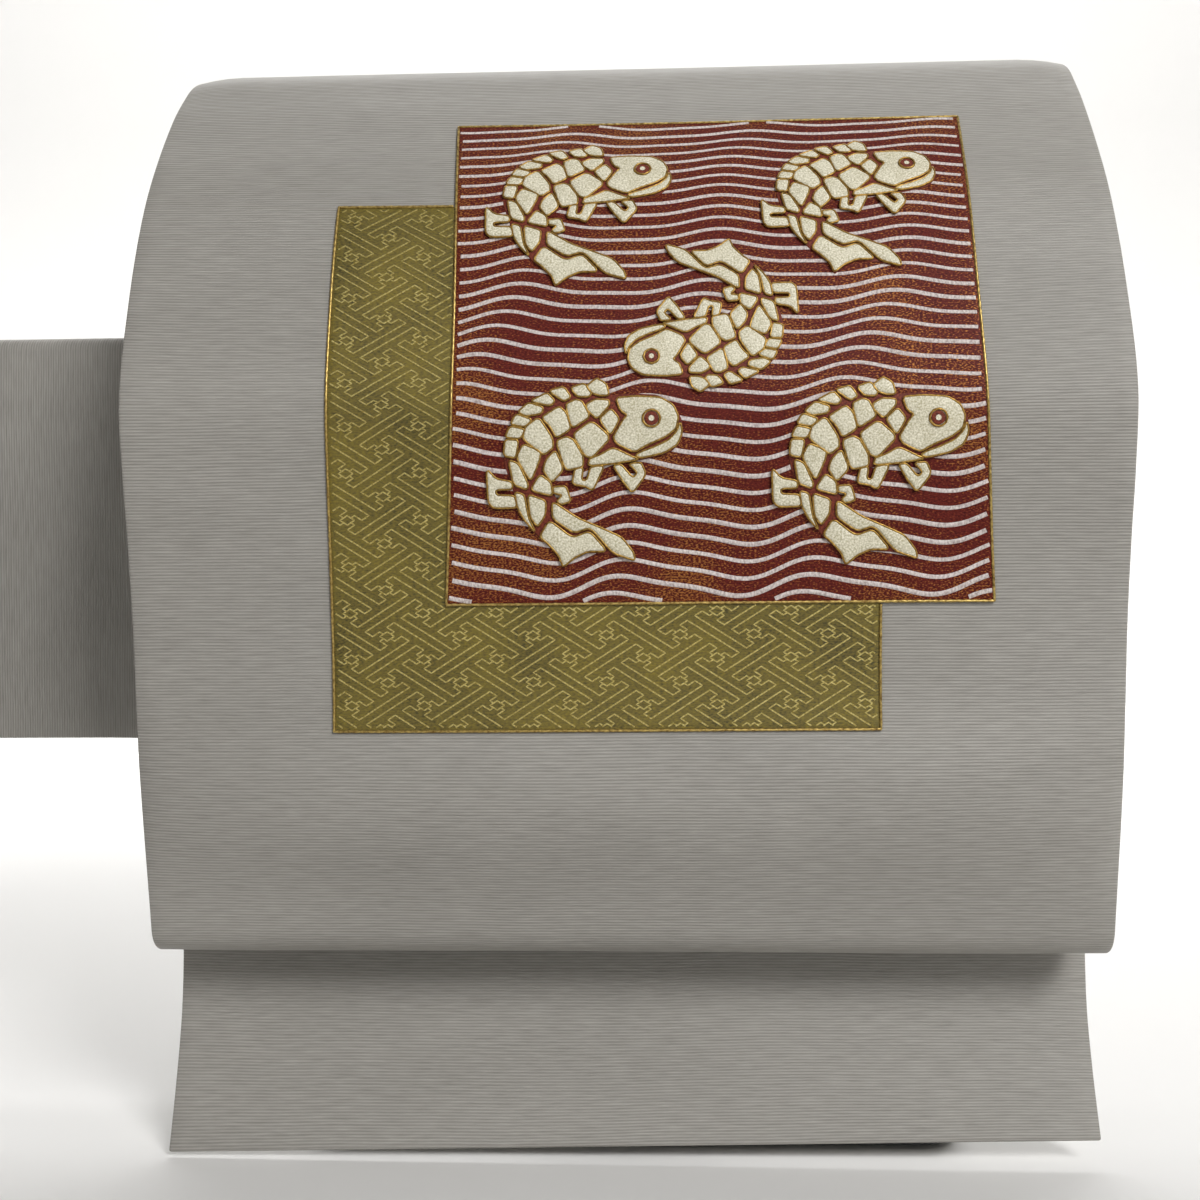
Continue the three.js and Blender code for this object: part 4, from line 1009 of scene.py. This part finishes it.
ramp.color_ramp.elements[1].color = linear("#e4dfcc")
tree.links.new(ramp.outputs[0], shader.inputs["Base Color"])
bump = add_node(tree, "ShaderNodeBump", [(nubs, 0, "Height")], strength=0.6, distance=0.15 * mm)
tree.links.new(bump.outputs[0], shader.inputs["Normal"])

# Red-brown line cloth: a dull ground that reads as dark lines between the scales.
line_cloth, tree, shader = new_material("red_brown_line_cloth", roughness=0.6, specular_ior_level=0.3)
place = add_node(tree, "ShaderNodeUVMap", uv_map="cloth")
nubs = add_node(tree, "ShaderNodeTexNoise", [(place, 0, "Vector")], scale=1500.0, detail=2.0)
ramp = add_node(tree, "ShaderNodeValToRGB", [(nubs, 0, 0)])
ramp.color_ramp.elements[0].position = 0.3
ramp.color_ramp.elements[0].color = linear("#44100a")
ramp.color_ramp.elements[1].position = 0.66
ramp.color_ramp.elements[1].color = linear("#7c3520")
tree.links.new(ramp.outputs[0], shader.inputs["Base Color"])
bump = add_node(tree, "ShaderNodeBump", [(nubs, 0, "Height")], strength=0.5, distance=0.1 * mm)
tree.links.new(bump.outputs[0], shader.inputs["Normal"])


def grown(outline, by):
    """The outline let out from its middle, so that neighbouring scales stand close."""
    middle_x = sum(x for x, y in outline) / len(outline)
    middle_y = sum(y for x, y in outline) / len(outline)
    size = max(math.hypot(x - middle_x, y - middle_y) for x, y in outline)
    share = 1 + by / size
    return [(middle_x + (x - middle_x) * share, middle_y + (y - middle_y) * share) for x, y in outline]


carp_shapes = []
for shape_name, outline in [*carp_pieces.items(), *carp_fins.items()]:
    small = shape_name.startswith("scale") or shape_name.startswith("back")
    carp_shapes.append(rounded(grown(outline, 0.85) if small else outline))
eye_x, eye_y = 20.2, 16.0
eye_patch = [(eye_x + 2.2 * math.cos(a), eye_y + 2.2 * math.sin(a)) for a in np.linspace(0, 5.9, 16)]
pupil = [(eye_x + 0.9 * math.cos(a), eye_y + 0.9 * math.sin(a)) for a in np.linspace(0, 5.5, 8)]

# Each carp's place from the red square's middle, in millimetres, its size as a share of the
# pattern's, and 1 if it is upright or -1 if it is turned upside down.
carp_places = [(-41.9, 45.0, 0.99, 1), (42.8, 45.7, 0.93, 1), (-1.5, 9.2, 0.89, -1),
               (-39.8, -39.5, 1.0, 1), (45.5, -40.1, 0.98, 1)]
red_middle = Vector((28.8 * mm, 0, 261.3 * mm))
for number, (right_by, up_by, size, way) in enumerate(carp_places, 1):
    centre_x = red_middle.x + right_by * mm
    centre_s = float(face_s(red_middle.z + up_by * mm))

    def to_cloth(x, y):
        return centre_x + way * size * x * mm, centre_s - way * size * y * mm

    ground = carp_piece(f"carp_{number}_ground", [rounded(carp_ground)], 1.0, 1.12, 0.3, to_cloth)
    ground.data.materials.append(line_cloth)
    cloths = carp_piece(f"carp_{number}_satin", carp_shapes, 1.2, 1.85, 0.9, to_cloth)
    cloths.data.materials.append(cream_satin)
    eye = carp_piece(f"carp_{number}_eye", [eye_patch], 2.1, 2.25, 0.3, to_cloth)
    eye.data.materials.append(line_cloth)
    dot = carp_piece(f"carp_{number}_pupil", [pupil], 2.35, 2.5, 0.3, to_cloth)
    dot.data.materials.append(cream_satin)
    edges = []
    for outline in carp_shapes:
        edge = [to_cloth(x, y) for x, y in resampled(outline, 0.8)]
        edges.append(([(x, s, 1.5 * mm) for x, s in edge], True))
    ring = [to_cloth(eye_x + 2.6 * math.cos(a), eye_y + 2.6 * math.sin(a))
            for a in np.linspace(0, 2 * math.pi, 20, endpoint=False)]
    edges.append(([(x, s, 2.2 * mm) for x, s in ring], True))
    threads = twisted_cord(f"carp_{number}_gilt", edges, 0.4 * mm, 1.8 * mm, 5)
    threads.data.materials.append(fine_gilt)
    for piece, slot_name in ((ground, "red_brocade"), (cloths, "cream_satin"), (threads, "gold_cord"),
                             (eye, "red_brocade"), (dot, "cream_satin")):
        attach(piece, "head")
    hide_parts(f"carp_{number}")

# ---------------------------------------------------------------------------------------------
# Pillow: a roll of cotton wadding in a sleeve of white gauze, which gives the drum its height. It
# lies in the saddle, and two cotton tapes tie it down.

core_low, core_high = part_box("pillow_core")
pillow_middle = middle("pillow_core")
pillow_half = (core_high - core_low) / 2


def sleeve(name, turns, xs, section, thickness, rounding):
    """A closed cloth sleeve. section(turn, x) gives how far it lies from the middle in y and z."""
    around = np.linspace(0, 2 * math.pi, turns + 1)
    grid = np.array([[(x, *section(t, x)) for x in xs] for t in around])
    size = np.linalg.norm(np.diff(grid[:, len(xs) // 2], axis=0), axis=1)
    girth = np.concatenate([[0], np.cumsum(size)])
    flat = np.stack(np.broadcast_arrays(np.array(xs)[None, :], girth[:, None]), -1)
    piece = grid_piece(name, grid, flat)
    bm = bmesh.new()
    bm.from_mesh(piece.data)
    bmesh.ops.remove_doubles(bm, verts=bm.verts, dist=1e-6)
    bm.to_mesh(piece.data)
    bm.free()
    if thickness:
        thicken(piece, thickness, rounding)
    return piece, girth[-1]


def soft_oval(turn, x, half_length, half_y, half_z, end_sharpness):
    """A slice of the roll: its ends round off, and it dimples a little where the wadding is uneven."""
    share = min(1.0, abs(x) / half_length)
    size = (1 - share ** end_sharpness) ** (1 / end_sharpness)
    uneven = 1 - 0.012 * (1 + math.sin(3 * turn + 40 * x)) - 0.01 * (1 + math.cos(2 * turn - 63 * x))
    return (pillow_middle.y + half_y * size * uneven * math.cos(turn),
            pillow_middle.z + half_z * size * uneven * math.sin(turn))


core_x = [pillow_half.x * math.sin(math.radians(a)) for a in np.linspace(-89.4, 89.4, 64)]
pillow_core, _ = sleeve("pillow_core_wadding", 56, core_x, lambda t, x: soft_oval(
    t, x, pillow_half.x, pillow_half.y - 0.4 * mm, pillow_half.z - 0.4 * mm, 6), 0, 0)
deselect()
bpy.context.view_layer.objects.active = pillow_core
pillow_core.select_set(True)
bpy.ops.object.mode_set(mode="EDIT")
bpy.ops.mesh.select_all(action="SELECT")
bpy.ops.mesh.fill_holes(sides=0)
bpy.ops.mesh.normals_make_consistent(inside=False)
bpy.ops.object.mode_set(mode="OBJECT")
finish_shape(pillow_core, 60)
# Cotton wadding: loose fibre, without any gloss, warm white and uneven.
wadding, tree, shader = new_material("cotton_wadding", roughness=0.95, specular_ior_level=0.1)
place = add_node(tree, "ShaderNodeTexCoord")
fluff = add_node(tree, "ShaderNodeTexNoise", [(place, "Object", "Vector")], scale=260.0, detail=5.0)
ramp = add_node(tree, "ShaderNodeValToRGB", [(fluff, 0, 0)])
ramp.color_ramp.elements[0].position = 0.3
ramp.color_ramp.elements[0].color = linear("#d5cec2")
ramp.color_ramp.elements[1].position = 0.7
ramp.color_ramp.elements[1].color = linear("#efeae1")
tree.links.new(ramp.outputs[0], shader.inputs["Base Color"])
bump = add_node(tree, "ShaderNodeBump", [(fluff, 0, "Height")], strength=0.8, distance=0.6 * mm)
tree.links.new(bump.outputs[0], shader.inputs["Normal"])
pillow_core.data.materials.append(wadding)
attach(pillow_core, "head")
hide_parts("pillow_core")

gauze_low, gauze_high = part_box("pillow_gauze")
gauze_half = (gauze_high - gauze_low) / 2


def gauze_section(turn, x):
    """The gauze lies on the wadding, and past its ends it gathers in to a ruffle."""
    past = max(0.0, abs(x) - pillow_half.x + 14 * mm) / (22 * mm)
    pleat = 1 + past * 0.10 * math.sin(18 * turn)
    size = (1 - 0.62 * past ** 1.4) * pleat
    y, z = soft_oval(turn, x, 10, gauze_half.y - 0.2 * mm, gauze_half.z - 0.2 * mm, 6)
    return pillow_middle.y + (y - pillow_middle.y) * size, pillow_middle.z + (z - pillow_middle.z) * size


gauze_x = np.concatenate([np.linspace(gauze_low.x, -100 * mm, 14), np.linspace(-96 * mm, 96 * mm, 40),
                          np.linspace(100 * mm, gauze_high.x, 14)])
pillow_gauze, gauze_girth = sleeve("pillow_gauze_sleeve", 108, list(gauze_x), gauze_section, 0.3 * mm,
                                   0.08 * mm)
# White cotton gauze: a raised square mesh, matte, with its threads drawn 1.1 mm apart to show.
gauze_cloth, tree, shader = new_material("white_cotton_gauze", roughness=0.85, sheen_weight=0.3,
                                         sheen_roughness=0.6, specular_ior_level=0.2)
place = add_node(tree, "ShaderNodeUVMap", uv_map="cloth")
split = add_node(tree, "ShaderNodeSeparateXYZ", [(place, 0, 0)])
waves_across = []
for axis in (0, 1):
    turns_here = add_node(tree, "ShaderNodeMath", [(split, axis, 0)], operation="MULTIPLY")
    turns_here.inputs[1].default_value = 2 * math.pi / (1.1 * mm)
    waves_across.append(add_node(tree, "ShaderNodeMath", [(turns_here, 0, 0)], operation="SINE"))
mesh_height = add_node(tree, "ShaderNodeMath", [(waves_across[0], 0, 0), (waves_across[1], 0, 1)],
                       operation="MAXIMUM")
ramp = add_node(tree, "ShaderNodeValToRGB", [(mesh_height, 0, 0)])
ramp.color_ramp.elements[0].position = 0.0
ramp.color_ramp.elements[0].color = linear("#d9d7d0")
ramp.color_ramp.elements[1].position = 0.9
ramp.color_ramp.elements[1].color = linear("#f4f3ee")
tree.links.new(ramp.outputs[0], shader.inputs["Base Color"])
bump = add_node(tree, "ShaderNodeBump", [(mesh_height, 0, "Height")], strength=0.5, distance=0.15 * mm)
tree.links.new(bump.outputs[0], shader.inputs["Normal"])
pillow_gauze.data.materials.append(gauze_cloth)
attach(pillow_gauze, "head")
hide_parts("pillow_gauze")

# Woven cotton tape: a firm twill of unbleached cotton, with fine diagonal ribs.
tape, tree, shader = new_material("woven_cotton_tape", roughness=0.85, specular_ior_level=0.2,
                                  sheen_weight=0.2, sheen_roughness=0.6)
place = add_node(tree, "ShaderNodeUVMap", uv_map="cloth")
twill = add_node(tree, "ShaderNodeTexWave", [(place, 0, "Vector")], wave_type="BANDS",
                 bands_direction="DIAGONAL", scale=330.0, distortion=0.4)
ramp = add_node(tree, "ShaderNodeValToRGB", [(twill, 1, 0)])
ramp.color_ramp.elements[0].color = linear("#cdc8bb")
ramp.color_ramp.elements[1].color = linear("#ebe7dc")
tree.links.new(ramp.outputs[0], shader.inputs["Base Color"])
bump = add_node(tree, "ShaderNodeBump", [(twill, 1, "Height")], strength=0.4, distance=0.12 * mm)
tree.links.new(bump.outputs[0], shader.inputs["Normal"])
for side in ("left", "right"):
    tape_low, tape_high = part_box(f"pillow_strap_{side}")
    tape_middle = (tape_low + tape_high) / 2
    tape_half = (tape_high - tape_low) / 2
    tape_x = list(np.linspace(tape_low.x, tape_high.x, 7))

    def tape_section(t, x):
        return tape_middle.y + tape_half.y * math.cos(t), tape_middle.z + tape_half.z * math.sin(t)

    strap, girth = sleeve(f"pillow_tape_{side}", 72, tape_x, tape_section, 0.9 * mm, 0.25 * mm)
    strap.data.materials.append(tape)
    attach(strap, "head")
    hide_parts(f"pillow_strap_{side}")

# ---------------------------------------------------------------------------------------------
# Straight tubes: the kraft paper tube in the roll, the chromed post and its inner tube, the
# chromed bar that the hem flap hangs from, and the thin rod of the hand end.

def straight_tube(name, node, axis, wall, sides=64):
    """A tube in a CAD node's box, along that axis, with eased ends. Without a wall it is a solid rod."""
    node_low, node_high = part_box(node)
    centre = (node_low + node_high) / 2
    size = node_high - node_low
    across = (axis + 1) % 3
    deselect()
    bpy.ops.mesh.primitive_cylinder_add(
        vertices=sides, radius=size[across] / 2, depth=size[axis], location=centre,
        end_fill_type="NOTHING" if wall else "NGON",
        rotation=(0, math.radians(90), 0) if axis == 0 else (0, 0, 0))
    piece = bpy.context.object
    piece.name = name
    bpy.ops.object.transform_apply(location=True, rotation=True, scale=True)
    if wall:
        shell = piece.modifiers.new("wall", "SOLIDIFY")
        shell.thickness = wall
        shell.offset = -1.0
    ease = piece.modifiers.new("ease", "BEVEL")
    ease.width = min(0.4 * mm, (wall or 1 * mm) * 0.3)
    ease.segments = 3
    ease.limit_method = "ANGLE"
    ease.angle_limit = math.radians(40)
    finish_shape(piece, 40)
    return piece


# Spiral kraft paper: brown fibrous board, crossed by slanting seams that are a little darker.
kraft, tree, shader = new_material("spiral_kraft_paper", roughness=0.85, specular_ior_level=0.2)
place = add_node(tree, "ShaderNodeTexCoord")
fibre_place = add_node(tree, "ShaderNodeMapping", [(place, "Object", 0)])
fibre_place.inputs["Scale"].default_value = (240, 900, 900)
fibres = add_node(tree, "ShaderNodeTexNoise", [(fibre_place, 0, "Vector")], scale=1.0, detail=4.0)
seam = add_node(tree, "ShaderNodeTexWave", [(place, "Object", "Vector")], wave_type="BANDS",
                bands_direction="DIAGONAL", scale=9.0, distortion=0.0)
seam_share = add_node(tree, "ShaderNodeMapRange", [(seam, 1, 0)])
seam_share.inputs["From Max"].default_value = 0.06
seam_share.inputs["To Min"].default_value = 0.25
seam_share.inputs["To Max"].default_value = 0.0
mixed = add_node(tree, "ShaderNodeMath", [(fibres, 0, 0), (seam_share, 0, 1)], operation="SUBTRACT")
ramp = add_node(tree, "ShaderNodeValToRGB", [(mixed, 0, 0)])
ramp.color_ramp.elements[0].position = 0.2
ramp.color_ramp.elements[0].color = linear("#8a6a48")
ramp.color_ramp.elements[1].position = 0.7
ramp.color_ramp.elements[1].color = linear("#b89468")
tree.links.new(ramp.outputs[0], shader.inputs["Base Color"])
bump = add_node(tree, "ShaderNodeBump", [(fibres, 0, "Height")], strength=0.3, distance=0.1 * mm)
tree.links.new(bump.outputs[0], shader.inputs["Normal"])

# Chromed steel tube: a cool bright mirror, with patches that are a little duller.
chrome, tree, shader = new_material("chromed_steel_tube", base_color=linear("#c8cacd"), metallic=1.0)
place = add_node(tree, "ShaderNodeTexCoord")
smears = add_node(tree, "ShaderNodeTexNoise", [(place, "Object", "Vector")], scale=55.0, detail=4.0)
gloss = add_node(tree, "ShaderNodeMapRange", [(smears, 0, 0)])
gloss.inputs["To Min"].default_value = 0.07
gloss.inputs["To Max"].default_value = 0.2
tree.links.new(gloss.outputs[0], shader.inputs["Roughness"])

for name, node, axis, wall, material, body, slot_name in (
        ("paper_roll_tube", "fold_tube", 0, 1.5 * mm, kraft, "head", "kraft_paper"),
        ("post_outer_tube", "outer_tube", 2, 1.5 * mm, chrome, "base", "chrome_tube"),
        ("post_inner_tube", "inner_tube", 2, 1.5 * mm, chrome, "head", "chrome_tube"),
        ("flap_bar", "tare_bar", 0, 0, chrome, "head", "chrome_tube"),
        ("hand_end_rod", "te_rod", 0, 0, chrome, "head", "chrome_tube")):
    tube = straight_tube(name, node, axis, wall)
    tube.data.materials.append(material)
    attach(tube, body)
    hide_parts(node)

# ---------------------------------------------------------------------------------------------
# Stand fittings: pressed and turned steel in black powder coat, brushed steel screws, moulded
# knob and caps, and a felt pad glued under the base. Each keeps its measured form with eased edges.

def eased_copy(name, node, width, segments=3):
    """A copy of a CAD node, merged, with its sharp edges rounded and the rest shaded smooth."""
    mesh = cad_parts[node].data.copy()
    mesh.name = name
    mesh.materials.clear()
    bm = bmesh.new()
    bm.from_mesh(mesh)
    bmesh.ops.remove_doubles(bm, verts=bm.verts, dist=0.003 * mm)
    bmesh.ops.dissolve_limit(bm, angle_limit=math.radians(0.5), verts=bm.verts, edges=bm.edges)
    bm.to_mesh(mesh)
    bm.free()
    piece = bpy.data.objects.new(name, mesh)
    bpy.context.collection.objects.link(piece)
    ease = piece.modifiers.new("ease", "BEVEL")
    ease.width = width
    ease.segments = segments
    ease.limit_method = "ANGLE"
    ease.angle_limit = math.radians(35)
    finish_shape(piece, 35)
    return piece


# Black powder coat: half-matte paint with a fine orange-peel surface, greyer in faint patches.
powder_coat, tree, shader = new_material("black_powder_coat", roughness=0.42, specular_ior_level=0.5)
place = add_node(tree, "ShaderNodeTexCoord")
peel = add_node(tree, "ShaderNodeTexNoise", [(place, "Object", "Vector")], scale=900.0, detail=2.0)
dust = add_node(tree, "ShaderNodeTexNoise", [(place, "Object", "Vector")], scale=40.0, detail=4.0)
ramp = add_node(tree, "ShaderNodeValToRGB", [(dust, 0, 0)])
ramp.color_ramp.elements[0].color = linear("#1b1b1c")
ramp.color_ramp.elements[1].color = linear("#343435")
tree.links.new(ramp.outputs[0], shader.inputs["Base Color"])
bump = add_node(tree, "ShaderNodeBump", [(peel, 0, "Height")], strength=0.25, distance=0.1 * mm)
tree.links.new(bump.outputs[0], shader.inputs["Normal"])

# Brushed steel screw: grey metal with fine lines that all run one way.
steel, tree, shader = new_material("brushed_steel_screw", metallic=1.0)
place = add_node(tree, "ShaderNodeTexCoord")
brush_place = add_node(tree, "ShaderNodeMapping", [(place, "Object", 0)])
brush_place.inputs["Scale"].default_value = (300, 2400, 2400)
brush = add_node(tree, "ShaderNodeTexNoise", [(brush_place, 0, "Vector")], scale=1.0, detail=2.0)
ramp = add_node(tree, "ShaderNodeValToRGB", [(brush, 0, 0)])
ramp.color_ramp.elements[0].color = linear("#8d8f91")
ramp.color_ramp.elements[1].color = linear("#c3c5c7")
tree.links.new(ramp.outputs[0], shader.inputs["Base Color"])
gloss = add_node(tree, "ShaderNodeMapRange", [(brush, 0, 0)])
gloss.inputs["To Min"].default_value = 0.25
gloss.inputs["To Max"].default_value = 0.42
tree.links.new(gloss.outputs[0], shader.inputs["Roughness"])

# Moulded black nylon: dull black plastic, with the fine even grain of its mould.
moulded, tree, shader = new_material("moulded_black_nylon", specular_ior_level=0.45)
place = add_node(tree, "ShaderNodeTexCoord")
spark = add_node(tree, "ShaderNodeTexNoise", [(place, "Object", "Vector")], scale=1600.0, detail=2.0)
ramp = add_node(tree, "ShaderNodeValToRGB", [(spark, 0, 0)])
ramp.color_ramp.elements[0].color = linear("#161617")
ramp.color_ramp.elements[1].color = linear("#2a2a2b")
tree.links.new(ramp.outputs[0], shader.inputs["Base Color"])
dull = add_node(tree, "ShaderNodeMapRange", [(spark, 0, 0)])
dull.inputs["To Min"].default_value = 0.45
dull.inputs["To Max"].default_value = 0.62
tree.links.new(dull.outputs[0], shader.inputs["Roughness"])
bump = add_node(tree, "ShaderNodeBump", [(spark, 0, "Height")], strength=0.3, distance=0.05 * mm)
tree.links.new(bump.outputs[0], shader.inputs["Normal"])

# Grey wool felt: pressed fibre, mottled and without gloss, with a pale bloom seen edge-on.
felt, tree, shader = new_material("grey_wool_felt", roughness=0.95, specular_ior_level=0.1,
                                  sheen_weight=0.4, sheen_roughness=0.6)
place = add_node(tree, "ShaderNodeTexCoord")
wool = add_node(tree, "ShaderNodeTexNoise", [(place, "Object", "Vector")], scale=700.0, detail=5.0)
ramp = add_node(tree, "ShaderNodeValToRGB", [(wool, 0, 0)])
ramp.color_ramp.elements[0].position = 0.3
ramp.color_ramp.elements[0].color = linear("#4b4c4e")
ramp.color_ramp.elements[1].position = 0.7
ramp.color_ramp.elements[1].color = linear("#77787a")
tree.links.new(ramp.outputs[0], shader.inputs["Base Color"])
bump = add_node(tree, "ShaderNodeBump", [(wool, 0, "Height")], strength=0.8, distance=0.3 * mm)
tree.links.new(bump.outputs[0], shader.inputs["Normal"])

for node, body, width, material, slot_name in (
        ("base_felt", "base", 0.3, felt, "grey_felt"),
        ("base_plate", "base", 1.0, powder_coat, "black_paint"),
        ("post_socket", "base", 0.5, powder_coat, "black_paint"),
        ("socket_screw_1", "base", 0.2, steel, "brushed_steel"),
        ("socket_screw_2", "base", 0.2, steel, "brushed_steel"),
        ("socket_screw_3", "base", 0.2, steel, "brushed_steel"),
        ("clamp_collar", "base", 0.6, powder_coat, "black_paint"),
        ("clamp_knob", "knob", 0.8, moulded, "black_plastic"),
        ("clamp_screw", "knob", 0.2, steel, "brushed_steel"),
        ("saddle_hub", "head", 0.4, powder_coat, "black_paint"),
        ("saddle_trough", "head", 0.35, powder_coat, "black_paint"),
        ("saddle_screw", "head", 0.2, steel, "brushed_steel"),
        ("rail_collar", "head", 0.5, powder_coat, "black_paint"),
        ("tare_rail", "head", 0.35, powder_coat, "black_paint"),
        ("rail_screw_left", "head", 0.2, steel, "brushed_steel"),
        ("rail_screw_right", "head", 0.2, steel, "brushed_steel"),
        ("rail_grub_screw", "head", 0.15, steel, "brushed_steel"),
        ("bar_cap_left", "head", 0.6, moulded, "black_plastic"),
        ("bar_cap_right", "head", 0.6, moulded, "black_plastic"),
        ("te_bracket", "head", 0.35, powder_coat, "black_paint"),
        ("te_grub_screw", "head", 0.15, steel, "brushed_steel"),
        ("te_rod_nut", "head", 0.3, steel, "brushed_steel")):
    fitting = eased_copy(f"{node}_eased", node, width * mm)
    fitting.data.materials.append(material)
    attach(fitting, body)
    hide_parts(node)
